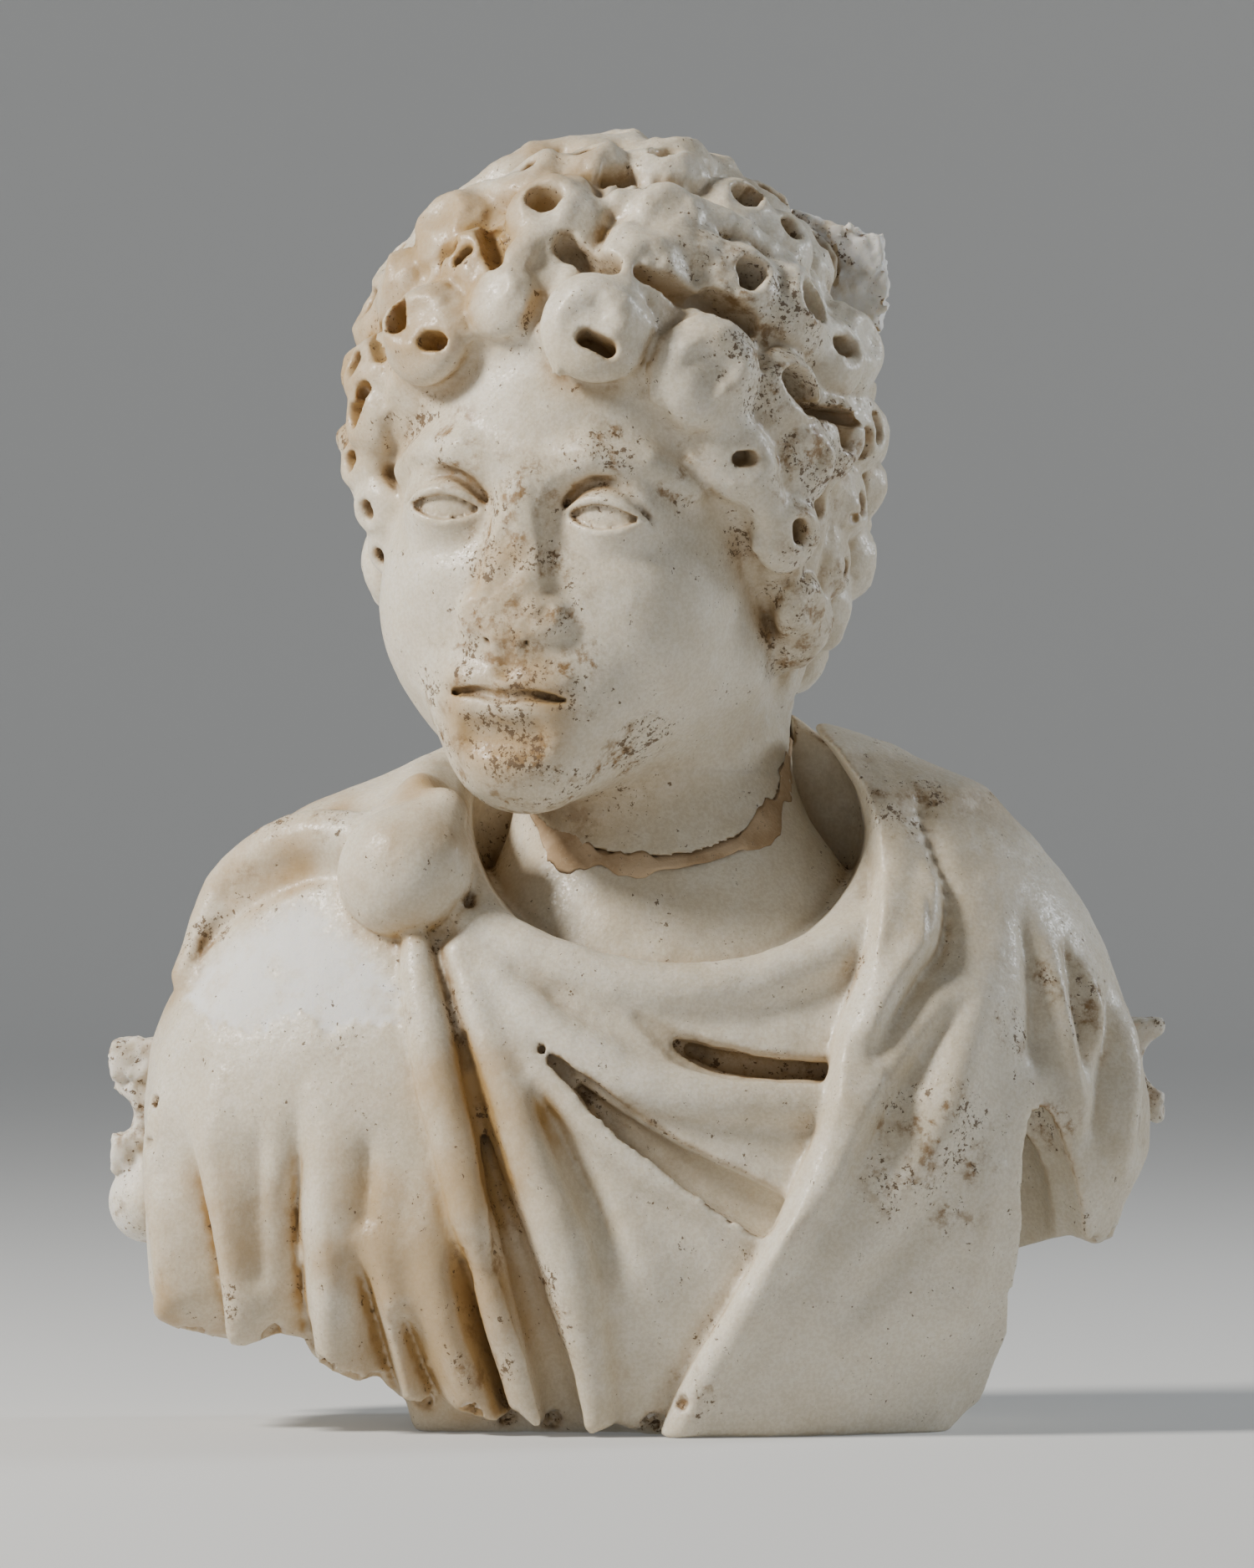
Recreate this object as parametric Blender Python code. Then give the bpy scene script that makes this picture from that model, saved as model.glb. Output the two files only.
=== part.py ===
"""A small Roman marble bust of a youth in a cloak pinned on one shoulder.

The marble is in two pieces, the draped bust and the head, which broke at the neck and were
rejoined with a bed of tan filler. Each is carved as a solid of distances: masses are laid on
with soft joins, then folds, locks and drilled holes are added and cut, and the surface is meshed
and thinned. Lengths of the carving are in millimetres at the measured height of 265 mm, and MM
turns them into metres, so that the whole carving follows BUST_HEIGHT.

The object's front faces -Y, +Z is up, and it stands on z = 0.
"""

import math
from concurrent.futures import ThreadPoolExecutor

import bpy
import numpy as np
import openvdb

# Driving sizes, in metres.
BUST_HEIGHT = 0.265
JOIN_GAP = 0.0003

# The carving is written in millimetres of the bust at this height.
CARVED_HEIGHT = 265.0
MM = BUST_HEIGHT / CARVED_HEIGHT
GAP = JOIN_GAP / MM

# How finely the marble is sampled, in carving millimetres, and the triangles kept of each piece.
BUST_STEP = 1.5
HEAD_STEP = 1.25
BUST_TRIANGLES = 4600
HEAD_TRIANGLES = 4700

# Sampling: samples along a block's side, blocks along a group's, and the room kept at the surface.
BLOCK = 6
GROUP = 5
SKIP_ROOM = 2.5
THREADS = 4
FAR = 99.0


# Shapes, as distances from points to a surface, negative inside

def length(vectors):
    return np.sqrt((vectors * vectors).sum(-1))


def smoothstep(low, high, value):
    share = np.clip((value - low) / (high - low), 0.0, 1.0)
    return share * share * (3.0 - 2.0 * share)


def soft_min(a, b, soft):
    near = np.maximum(soft - np.abs(a - b), 0.0) / soft
    return np.minimum(a, b) - near * near * soft * 0.25


def soft_max(a, b, soft):
    return -soft_min(-a, -b, soft)


def uneven(points, size):
    """A smooth, uneven value between about -1 and 1 that changes over this many millimetres."""
    total = np.zeros(len(points))
    for number in range(6):
        bearing = 2.4 * number + 0.3
        rise = 0.9 * math.sin(1.7 * number + 0.5)
        way = np.array((math.cos(bearing), math.sin(bearing), rise)) / math.hypot(1.0, rise)
        aside = np.array((-way[1], way[0], 0.6))
        drift = 1.3 * np.sin(points @ aside * (2.3 / size) + number)
        total += np.sin(points @ way * (6.28 / size) * (0.75 + 0.11 * number) + 1.9 * number + drift)
    return total / 3.2


class Ball:
    """An ellipsoid."""

    def __init__(self, centre, radii):
        self.centre = np.array(centre, float)
        self.radii = np.array(radii if hasattr(radii, "__len__") else (radii,) * 3, float)
        self.low = self.centre - self.radii
        self.high = self.centre + self.radii

    def distance(self, points):
        offset = points - self.centre
        share = length(offset / self.radii)
        slope = length(offset / self.radii**2)
        return share * (share - 1.0) / np.maximum(slope, 1e-6)


class Sweep:
    """A round bar of changing radius along a path. Flutes are the shallow grooves along a lock."""

    def __init__(self, path, radii, flutes=0, flute_depth=0.0, up=(0.0, 0.0, 1.0)):
        self.path = np.array(path, float)
        count = len(self.path)
        self.radii = np.interp(np.linspace(0, 1, count), np.linspace(0, 1, len(radii)), radii)
        reach = self.radii[:, None]
        self.low = (self.path - reach).min(0)
        self.high = (self.path + reach).max(0)
        self.flutes = flutes
        self.flute_depth = flute_depth
        self.up = np.array(up, float)

    def distance(self, points):
        best = np.full(len(points), FAR)
        turn = np.zeros(len(points))
        for a, b, ra, rb in zip(self.path[:-1], self.path[1:], self.radii[:-1], self.radii[1:]):
            along = b - a
            share = np.clip((points - a) @ along / max(along @ along, 1e-9), 0.0, 1.0)
            offset = points - a - share[:, None] * along
            found = length(offset) - (ra + share * (rb - ra))
            nearer = found < best
            best = np.where(nearer, found, best)
            if self.flutes:
                side = np.cross(along, self.up)
                side /= max(np.linalg.norm(side), 1e-6)
                top = np.cross(side, along)
                top /= max(np.linalg.norm(top), 1e-6)
                turn = np.where(nearer, np.arctan2(offset @ side, offset @ top), turn)
        if self.flutes:
            best = best - self.flute_depth * np.cos(turn * self.flutes)
        return best


def smooth_path(points, count):
    """A path of count points on a smooth curve through the given ones."""
    points = np.array(points, float)
    first = 2 * points[0] - points[1]
    last = 2 * points[-1] - points[-2]
    knots = np.vstack([first, points, last])
    path = []
    for step in np.linspace(0, len(points) - 1, count):
        i = min(int(step), len(points) - 2)
        t = step - i
        a, b, c, d = knots[i : i + 4]
        path.append(
            0.5 * (2 * b + (c - a) * t + (2 * a - 5 * b + 4 * c - d) * t**2 + (3 * b - a - 3 * c + d) * t**3)
        )
    return np.array(path)


class Block:
    """Sample points in a small box, and the distance from each to the stone's surface."""

    def __init__(self, points, spare=2.0):
        self.points = points
        self.spare = spare
        self.low = points.min(0)
        self.high = points.max(0)
        self.distance = np.full(len(points), FAR)

    def reach(self, low, high):
        """The samples inside a box, or None where it misses this block."""
        if (low > self.high).any() or (high < self.low).any():
            return None
        inside = ((self.points >= low) & (self.points <= high)).all(1)
        return np.flatnonzero(inside) if inside.any() else None

    def add(self, shape, soft=1.0):
        room = soft + self.spare
        found = self.reach(shape.low - room, shape.high + room)
        if found is not None:
            there = shape.distance(self.points[found])
            self.distance[found] = soft_min(self.distance[found], there, soft)

    def cut(self, shape, soft=1.0):
        room = soft + self.spare - 2.0
        found = self.reach(shape.low - room, shape.high + room)
        if found is not None:
            there = shape.distance(self.points[found])
            self.distance[found] = soft_max(self.distance[found], -there, soft)

    def swell(self, fold):
        """Raises or sinks the surface along a fold."""
        found = self.reach(fold.low, fold.high)
        if found is not None:
            self.distance[found] -= fold.rise(self.points[found])


# How far a fold's surface may stand off the path that it follows.
FOLD_ROOM = 12.0


class Fold:
    """A ridge, or with a negative height a valley, that follows a path on the surface.

    Across it the height falls off with the distance from the path: crest 2 is round and 1 sharp.
    It fades in over the first share of its length and out over the last.
    """

    def __init__(self, path, facing, width, height, crest=1.8, fade=(0.15, 0.2)):
        self.path = np.array(path, float)
        self.facing = np.array(facing, float)
        count = len(self.path)
        shares = np.linspace(0, 1, count)
        self.width = np.interp(shares, np.linspace(0, 1, len(width)), width)
        rise = np.interp(shares, np.linspace(0, 1, len(height)), height)
        fade_in = smoothstep(0, max(fade[0], 1e-3), shares) if fade[0] else 1.0
        fade_out = smoothstep(0, max(fade[1], 1e-3), 1 - shares) if fade[1] else 1.0
        self.height = rise * fade_in * fade_out
        self.crest = crest
        reach = 2.4 * self.width.max() + 6
        self.low = self.path.min(0) - reach
        self.high = self.path.max(0) + reach

    def rise(self, points):
        best = np.full(len(points), 1e9)
        height = np.zeros(len(points))
        width = np.ones(len(points))
        for i in range(len(self.path) - 1):
            a, b = self.path[i], self.path[i + 1]
            along = b - a
            span = max(along @ along, 1e-9)
            offset = points - a
            share = np.clip(offset @ along / span, 0.0, 1.0)[:, None]
            facing = self.facing[i] + share * (self.facing[i + 1] - self.facing[i])
            out = ((offset - share * along) * facing).sum(1)
            # The point is brought down to the path's own level before it is measured.
            offset = offset - out[:, None] * facing
            share = np.clip(offset @ along / span, 0.0, 1.0)
            offset = offset - share[:, None] * along
            deep = np.maximum(np.abs(out) - FOLD_ROOM, 0.0)
            aside = (offset * offset).sum(1) + deep * deep
            nearer = aside < best
            best = np.where(nearer, aside, best)
            height = np.where(nearer, self.height[i] + share * (self.height[i + 1] - self.height[i]), height)
            width = np.where(nearer, self.width[i] + share * (self.width[i + 1] - self.width[i]), width)
        across = np.sqrt(np.maximum(best, 0.0)) / width
        return height * np.exp(-(across**self.crest))


# The draped torso

TORSO_ROUNDNESS = 2.35
# Height, then the left, right, front and back edge of the cloak there.
TORSO_SECTIONS = np.array([
    (-14, -60, 66, -40, 24),
    (0, -66, 70, -43, 28),
    (14, -86, 78, -47, 31),
    (26, -99, 90, -50, 33),
    (40, -100, 99, -51, 35),
    (52, -100, 103.5, -51, 36),
    (65, -100.5, 104, -50, 37),
    (78, -99, 101.5, -47.5, 38),
    (87, -95.5, 98.5, -45, 38.5),
    (96, -90, 95, -42, 38.5),
    (105, -86, 90, -38.5, 38.5),
    (111, -82.5, 85, -36, 38),
    (118, -78, 78, -32.5, 37),
    (124, -72.5, 70, -29, 36.5),
    (129, -62, 62, -26, 36),
    (133, -50.5, 52, -23, 35),
    (138, -41, 43.5, -19, 34),
    (143, -33, 36, -14, 32),
    (150, -24, 27, -8, 29),
    (160, -10, 14, 2, 22),
])
SMOOTHED_HEIGHTS = np.arange(-14.0, 160.0, 1.0)


def smoothed(table, over):
    """The table read at every millimetre and rounded off over a few."""
    window = np.hanning(over + 2)
    window /= window.sum()
    columns = []
    for column in table.T[1:]:
        dense = np.interp(SMOOTHED_HEIGHTS, table[:, 0], column)
        padded = np.pad(dense, over, mode="edge")
        columns.append(np.convolve(padded, window, mode="same")[over:-over])
    return columns


TORSO_EDGES = smoothed(TORSO_SECTIONS, 9)


def torso_section(heights):
    """Centre x and y, half width and half depth of the cloak at these heights."""
    left, right, front, back = (np.interp(heights, SMOOTHED_HEIGHTS, edge) for edge in TORSO_EDGES)
    return (left + right) / 2, (front + back) / 2, (right - left) / 2, (back - front) / 2


def torso_share(x, y, z):
    centre_x, centre_y, half_width, half_depth = torso_section(z)
    u = np.abs(x - centre_x) / half_width
    v = np.abs(y - centre_y) / half_depth
    n = TORSO_ROUNDNESS
    share = np.maximum(u**n + v**n, 1e-6) ** (1 / n)
    level_slope = np.sqrt((u ** (n - 1) / half_width) ** 2 + (v ** (n - 1) / half_depth) ** 2)
    return share, level_slope / share ** (n - 1)


class Torso:
    """The cloak's smooth outer form, before its folds."""

    low = np.array((-125.0, -75.0, -14.0))
    high = np.array((130.0, 60.0, 160.0))

    def distance(self, points):
        x, y, z = points.T
        share, level_slope = torso_share(x, y, z)
        above, _ = torso_share(x, y, z + 1.0)
        slope = np.sqrt(level_slope**2 + (above - share) ** 2)
        return (share - 1.0) / np.maximum(slope, 0.006)


def on_torso(x, z, behind=False, lift=0.0):
    """The point on the cloak's front or back at x and z, and the way the surface faces there."""
    centre_x, centre_y, half_width, half_depth = (float(v) for v in torso_section(z))
    u = min(abs(x - centre_x) / half_width, 0.985)
    v = (1 - u**TORSO_ROUNDNESS) ** (1 / TORSO_ROUNDNESS)
    x = centre_x + math.copysign(u * half_width, x - centre_x)
    y = centre_y + (v if behind else -v) * half_depth
    n = TORSO_ROUNDNESS - 1
    out_y = (v**n if behind else -(v**n)) / half_depth
    out = np.array((math.copysign(u**n, x - centre_x) / half_width, out_y, 0.0))
    out /= np.linalg.norm(out)
    return np.array((x, y, z)) + lift * out, out


def torso_path(marks, count=14, behind=False, lift=0.0):
    """A smooth path on the cloak through marks (x, z), with the way it faces at each point."""
    points = [on_torso(x, z, behind, lift) for x, z in smooth_path(marks, count)]
    return [p for p, _ in points], [out for _, out in points]


def torso_fold(marks, width, height, crest=1.8, fade=(0.15, 0.2), behind=False):
    path, facing = torso_path(marks, 24, behind)
    return Fold(path, facing, width, height, crest, fade)


def torso_bar(marks, radii, lift, count=14, behind=False):
    path, _ = torso_path(marks, count, behind, lift)
    return Sweep(path, radii)


# The bust's lower edge as seen from the front: x, and the height of the hem there.
HEM = np.array([
    (-108, 34), (-100.5, 30), (-97.5, 22.5), (-92, 20), (-84, 18), (-79, 17.5), (-72, 20), (-67, 19),
    (-65, 15),
    (-61, 12.5), (-56, 10.5), (-52, 11.5), (-48, 7.5), (-43, 6.5), (-40, 8), (-36, 5), (-28, 3), (-24, 5.5),
    (-20, 2), (-15, 3.5), (-9, 0.8), (-4, 2.5), (2, 0), (62, 0), (70, 6), (75, 20), (77, 36), (88, 39.5),
    (93, 37.5), (97, 38.5), (99.5, 46), (104, 54), (108, 62),
])
FOOT_LOW = np.array((-46.0, -34.0, -3.0))
FOOT_HIGH = np.array((64.0, 25.0, 16.0))


class Foot:
    """The plain core under the hem, which the bust stands on."""

    low = FOOT_LOW
    high = FOOT_HIGH

    def distance(self, points):
        middle = (FOOT_LOW + FOOT_HIGH) / 2
        half = (FOOT_HIGH - FOOT_LOW) / 2
        over = np.abs(points - middle) - half + 8.0
        return length(np.maximum(over, 0.0)) + np.minimum(over.max(1), 0.0) - 8.0


# The neck opening of the cloak, an ellipse in the front view that stops behind the neck.
OPENING_CENTRE = (7.0, 125.0)
OPENING_RADII = (40.5, 33.0)
OPENING_BACK = 12.0


class Opening:
    low = np.array((-36.0, -80.0, 88.0))
    high = np.array((50.0, 16.0, 175.0))

    def distance(self, points):
        u = (points[:, 0] - OPENING_CENTRE[0]) / OPENING_RADII[0]
        w = (points[:, 2] - OPENING_CENTRE[1]) / OPENING_RADII[1]
        share = np.sqrt(u * u + w * w)
        slope = np.sqrt((u / OPENING_RADII[0]) ** 2 + (w / OPENING_RADII[1]) ** 2)
        around = share * (share - 1.0) / np.maximum(slope, 1e-4)
        around = np.maximum(around, -40.0)
        return soft_max(around, points[:, 1] - OPENING_BACK, 6.0)


# The neck, from under the head to the chest.
NECK_TOP = (2.0, 9.0, 172.0)
NECK_FOOT = (5.0, 7.0, 112.0)
NECK_RADII = (26.5, 29.5)
CHEST = Ball((8.0, -3.0, 68.0), (53.0, 35.0, 60.0))


def flesh(points):
    """The bare chest and neck, which the break runs through."""
    body = Block(points)
    body.add(CHEST, 3.0)
    body.add(Sweep((NECK_TOP, NECK_FOOT), NECK_RADII), 14.0)
    return body.distance


# The break across the neck is steep in front and nearly level behind a crease through the middle.
BREAK_MIDDLE = (4.0, 7.5)
BREAK_HEIGHT = 136.6
BREAK_SLOPES = (0.061, 0.665, 0.12)
FILL_THICKNESS = 1.9
# What is carved past the break and then cut away along it.
BREAK_SPARE = 0.8
COLLAR_GAP = 1.2


def break_height(x, y):
    side, front, behind = BREAK_SLOPES
    back = y - BREAK_MIDDLE[1]
    return BREAK_HEIGHT + side * x + front * np.minimum(back, 0.0) + behind * np.maximum(back, 0.0)


class Above:
    """Everything above the break, by some lift."""

    low = np.array((-60.0, -60.0, 60.0))
    high = np.array((70.0, 80.0, 300.0))

    def __init__(self, lift):
        self.lift = lift

    def distance(self, points):
        return (break_height(points[:, 0], points[:, 1]) + self.lift - points[:, 2]) * 0.83


class NeckAbove:
    """The part of the neck that belongs to the head and the filler, with some room round it."""

    low = np.array((-60.0, -60.0, 60.0))
    high = np.array((70.0, 80.0, 185.0))

    def distance(self, points):
        return np.maximum(flesh(points) - COLLAR_GAP, Above(BREAK_SPARE).distance(points))


# The edge of the cloak's free end, which falls from the far shoulder over the chest: height and x.
EDGE = np.array([
    (146, 30.5), (138, 38.5), (130, 44.5), (122, 47), (112, 47.8), (102, 47), (91, 45), (83, 41.5),
    (79, 39.5),
    (70, 38.6), (62, 36.9), (54, 34), (46, 30.6), (34, 23.6), (19, 15), (8, 8.5), (0, 5.5), (-10, 2),
])


def edge_x(z):
    return np.interp(z, EDGE[::-1, 0], EDGE[::-1, 1])


def overlay(block):
    """Lifts the free end of the cloak over what lies under it."""
    x, y, z = block.points.T
    past = (x - edge_x(z)) * 0.86
    lift = 5.2 * smoothstep(-0.6, 2.2, past) * (1 - 0.75 * smoothstep(14, 52, past))
    front = 1 - smoothstep(-4, 14, y)
    block.distance -= lift * front * (1 - smoothstep(138, 150, z))


BROOCH = Ball((-46.6, -33.0, 112.6), (13.6, 12.6, 13.4))
BROOCH_PINCH = Sweep(((-43.0, -32.0, 118.0), (-39.5, -27.0, 124.5)), (7.5, 4.0))


def drapery_steps():
    """The folds of the cloak, from the wearer's right arm round to the left, in carving order."""
    # Hanging folds over the near arm: rounded ridges, and the sharp valleys between them.
    for marks, width, height in (
        (((-95, 80), (-97, 57), (-95, 42), (-92, 22)), (4.5, 5.5), (1.0, 3.4, 4.0)),
        (((-84, 80), (-86, 57), (-83, 42), (-78, 17)), (5.5, 6.5), (0.8, 3.6, 4.6)),
        (((-62, 78), (-62, 52), (-63, 34), (-62, 14)), (7, 6.5), (0.6, 3.0, 4.0)),
        (((-50, 60), (-51, 44), (-49, 24), (-45, 5)), (5, 4), (0.4, 2.4, 3.4)),
        (((-40, 62), (-42, 42), (-38, 24), (-30, 2)), (5, 4.5), (0.4, 2.6, 3.6)),
    ):
        yield "swell", torso_fold(marks, width, height, 2.2, (0.3, 0.0)), 0
    for marks, width, height in (
        (((-92, 66), (-89, 50), (-86.5, 35), (-84.5, 17)), (2.4, 3.6), (-1.5, -6.0, -7.0)),
        (((-68, 74), (-69, 54), (-70, 42), (-67.5, 14)), (2.6, 3.8), (-1.5, -5.5, -7.5)),
        (((-76, 66), (-76.5, 50), (-76, 32)), (2.6, 3.0), (-1.4, -2.0)),
        (((-54, 64), (-53.5, 52), (-54, 44)), (2.2, 2.4), (-1.4, -1.8)),
        (((-57, 40), (-53.5, 25), (-50, 9)), (2.4, 3.0), (-1.5, -5.5, -6.5)),
        (((-47, 27), (-45.5, 20), (-40, 4)), (2.0, 2.6), (-1.5, -4.5, -5.5)),
        (((-36, 40), (-33, 30), (-28.6, 17), (-22, 1)), (2.2, 2.8), (-2.0, -5.5, -6.5)),
    ):
        yield "swell", torso_fold(marks, width, height, 1.35, (0.35, 0.0)), 0

    # The folds that fan out from under the brooch.
    strap = ((-44, 99), (-43.2, 92), (-41, 80.6), (-38.6, 68.6), (-35.2, 56.6), (-32.6, 44.6), (-31, 36))
    yield "add", torso_bar(strap, (3.0, 4.0, 4.6, 4.9, 4.9, 4.6, 2.4), 0.6, 18), 1.6
    strap_end = ((-32, 38), (-27.4, 24), (-22, 10), (-18, -4))
    yield "add", torso_bar(strap_end, (1.8, 3.4, 4.2, 4.4), 0.4, 12), 1.6
    wedge = ((-36, 97), (-32, 86), (-25.5, 70), (-20.5, 56), (-15.5, 42), (-11.5, 27), (-8.5, 12), (-7, -4))
    yield "add", torso_bar(wedge, (2.2, 3.4, 4.6, 5.4, 5.6, 5.0, 4.4, 4.0), 0.4, 20), 2.6
    shoulder = ((-35, 95), (-24, 80), (-17, 71.5), (-7, 62), (4, 54.5), (15, 48.5), (26, 42))
    yield "add", torso_bar(shoulder, (2.0, 3.4, 4.4, 5.0, 5.2, 5.0, 4.6), -0.4, 18), 3.4
    upper = ((-33, 98), (-25, 89), (-17, 81), (-9, 76), (0, 71.5), (12, 68.6), (26, 67.8), (40, 67.4))
    yield "add", torso_bar(upper, (2.4, 3.8, 4.8, 5.2, 5.2, 5.0, 4.6, 4.4), -0.2, 20), 3.4
    neckline = ((-34, 104), (-25, 99), (-14, 94.5), (-2, 91), (11, 89.8), (25, 91.5), (38, 96), (48, 102))
    yield "add", torso_bar(neckline, (2.8, 3.8, 4.6, 5.0, 5.0, 4.8, 4.6, 4.6), -0.6, 20), 4.0
    belly = ((-14, 56), (-6, 44), (2, 32), (8, 20))
    yield "swell", torso_fold(belly, (6, 8), (1.0, 2.6), 2.0, (0.3, 0.4)), 0
    side = ((-20, 72), (-14, 58), (-7, 44), (-2, 30))
    yield "swell", torso_fold(side, (2.6, 3.4), (-2.0, -3.4), 1.5, (0.3, 0.4)), 0

    deep = ((-34.5, 80), (-31.6, 65.5), (-29, 53.7), (-24.4, 39.3), (-20.6, 26), (-16.5, 12), (-13, -4))
    yield "cut", torso_bar(deep, (0.6, 2.0, 2.8, 3.6, 4.2, 4.8, 5.0), 0.2, 18), 1.4
    yield "cut", torso_bar(deep[1:], (0.8, 1.8, 2.6, 3.2, 3.6, 4.0), -4.0, 14), 1.4
    channel = ((-26, 86), (-23, 82.7), (-16.5, 75.5), (-11, 69.8), (-3.4, 62.4), (7.7, 55), (17.7, 49.6),
               (29, 43.5))
    yield "cut", torso_bar(channel, (0.6, 1.6, 2.4, 3.0, 3.6, 4.2, 4.8, 5.2), 0.6, 22), 1.4
    yield "cut", torso_bar(channel[2:], (1.0, 2.0, 3.0, 3.6, 4.0, 4.4), -3.6, 18), 1.4
    pocket = ((0, 84), (5, 80.8), (11, 77.4), (19, 75.0), (29, 73.6), (42, 73.0))
    yield "cut", torso_bar(pocket, (0.6, 2.2, 3.6, 3.8, 3.2, 3.0), 0.6, 18), 1.2
    yield "cut", torso_bar(pocket[1:], (1.2, 2.6, 3.0, 2.8, 2.8), -5.0, 14), 1.4
    yield "cut", torso_bar(pocket[2:], (1.4, 2.2, 2.2, 2.2), -9.0, 12), 1.4

    yield "lay over", None, 0

    # The free end: its rolled border, and the folds beside it.
    border = [(float(edge_x(z)) + 3.4, z) for z in (136, 124, 112, 100, 88, 76, 64, 50, 36, 22, 8, -4)]
    yield "add", torso_bar(border, (2.6, 3.4, 3.8, 3.8, 3.8, 3.8, 4.0, 4.0), 3.0, 24), 2.4
    for marks, width, height, crest in (
        (((59, 127), (58.5, 110), (55, 98), (48, 86), (42.5, 75)), (4.0, 4.5), (1.0, 3.6, 3.0), 2.0),
        (((64, 96), (59, 88), (53, 78), (47, 66), (40, 52), (28, 38)), (4.5, 5.5), (1.2, 3.4, 3.0), 2.0),
        (((72, 105), (68, 91), (64, 80), (62, 69), (58, 57), (50, 40)), (6, 7), (1.2, 3.6, 3.0), 2.0),
        (((71, 66), (69, 48), (66, 30), (60, 12)), (5, 6), (1.0, 2.6), 2.0),
        (((80.5, 104), (84, 88), (87.5, 73), (90, 60)), (3.2, 3.4), (1.6, 4.2, 3.0), 1.9),
        (((88, 98), (91, 86), (92, 74)), (2.6, 2.8), (1.0, 2.6, 1.6), 1.9),
        (((97, 92), (98.5, 78), (98, 66), (96, 46)), (3.6, 4.4), (1.2, 3.2, 2.8), 1.9),
    ):
        yield "swell", torso_fold(marks, width, height, crest, (0.3, 0.2)), 0
    under_border = ((50, 133), (56, 122), (60.5, 110), (60.5, 98), (56, 92), (50, 82), (45, 71))
    for marks, width, height, crest in (
        (under_border, (2.0, 2.8), (-2.5, -4.6, -3.6), 1.4),
        (((68, 92), (61, 83), (54, 73), (48, 62), (42, 49), (32, 34)), (3.2, 4.2), (-2.0, -4.8, -3.0), 1.5),
        (((64, 62), (60, 50), (50, 34), (38, 18)), (3.4, 4.4), (-1.0, -3.0, -2.4), 1.7),
        (((75, 108), (77.5, 96), (79.5, 84), (79.5, 72)), (2.2, 3.0), (-2.0, -5.4, -5.6), 1.4),
        (((84, 104), (86.5, 90), (89, 78), (91, 66)), (1.6, 2.0), (-2.0, -4.2, -3.0), 1.4),
        (((94.5, 92), (94.5, 80), (93, 68), (91, 56)), (1.8, 2.4), (-2.0, -4.6, -3.6), 1.4),
    ):
        yield "swell", torso_fold(marks, width, height, crest, (0.25, 0.25)), 0
    # The hollow between the body and the end that hangs over the far arm.
    arm_gap = ((79.5, 70), (80.5, 62), (82, 52), (83.6, 42), (84.5, 30), (84.5, 16))
    yield "cut", torso_bar(arm_gap, (0.8, 2.8, 5.0, 7.2, 9.0, 10.0), -2.0, 16), 2.0
    yield "cut", torso_bar(arm_gap[1:], (1.4, 4.0, 6.0, 8.0, 9.0), -12.0, 12), 2.0


def shoulder_steps():
    """The cloak brought forward over the near shoulder to the brooch, and its border's groove."""
    roll = ((-93, 92), (-87.5, 102), (-79.5, 112), (-69, 119), (-58, 120), (-49, 117))
    yield "add", torso_bar(roll, (2.6, 4.2, 5.4, 5.6, 5.4, 5.0), 1.0, 16), 4.0
    groove = ((-91, 91), (-87.5, 97.5), (-83.5, 102), (-77, 108), (-67, 112), (-59, 112))
    yield "cut", torso_bar(groove, (0.6, 1.6, 2.2, 2.6, 2.4, 1.6), 1.6, 16), 1.2
    gathers = ((-46, 122), (-40, 130), (-33, 139))
    yield "add", torso_bar(gathers, (7.0, 6.0, 5.0), -0.6, 10), 5.0
    yield "cut", torso_bar(((-33.5, 108), (-35.5, 121), (-31, 133)), (1.4, 2.2, 2.2), 0.5, 10), 2.0


def back_steps():
    """Broad, plain folds of the cloak down the back."""
    for marks, width, height in (
        (((-62, 124), (-76, 100), (-84, 70), (-80, 24)), (7, 8), (1.2, 3.0, 2.8)),
        (((-30, 140), (-40, 110), (-52, 70), (-58, 10)), (8, 9), (1.5, 3.4, 3.0)),
        (((-8, 138), (-14, 110), (-24, 70), (-28, 4)), (7, 9), (1.5, 3.4, 3.0)),
        (((14, 138), (14, 110), (8, 70), (4, 0)), (7, 9), (1.5, 3.4, 3.0)),
        (((34, 136), (42, 110), (42, 70), (38, 2)), (7, 9), (1.5, 3.4, 3.0)),
        (((56, 122), (70, 100), (76, 70), (72, 30)), (7, 8), (1.2, 3.0, 2.6)),
    ):
        yield "swell", torso_fold(marks, width, height, 2.0, (0.2, 0.0), behind=True), 0
    for marks in (
        ((-46, 130), (-58, 106), (-68, 70), (-69, 18)),
        ((-20, 140), (-28, 110), (-39, 70), (-44, 4)),
        ((2, 140), (0, 110), (-9, 70), (-12, 2)),
        ((24, 138), (30, 110), (26, 70), (22, 2)),
        ((46, 130), (58, 104), (60, 70), (57, 8)),
    ):
        yield "swell", torso_fold(marks, (3.2, 4.2), (-1.5, -4.0, -4.2), 1.5, (0.2, 0.0), behind=True), 0


DRAPERY = [*drapery_steps(), *shoulder_steps(), *back_steps()]


def drapery(block):
    for kind, shape, soft in DRAPERY:
        if kind == "swell":
            block.swell(shape)
        elif kind == "add":
            block.add(shape, soft)
        elif kind == "cut":
            block.cut(shape, soft)
        else:
            overlay(block)


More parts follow.
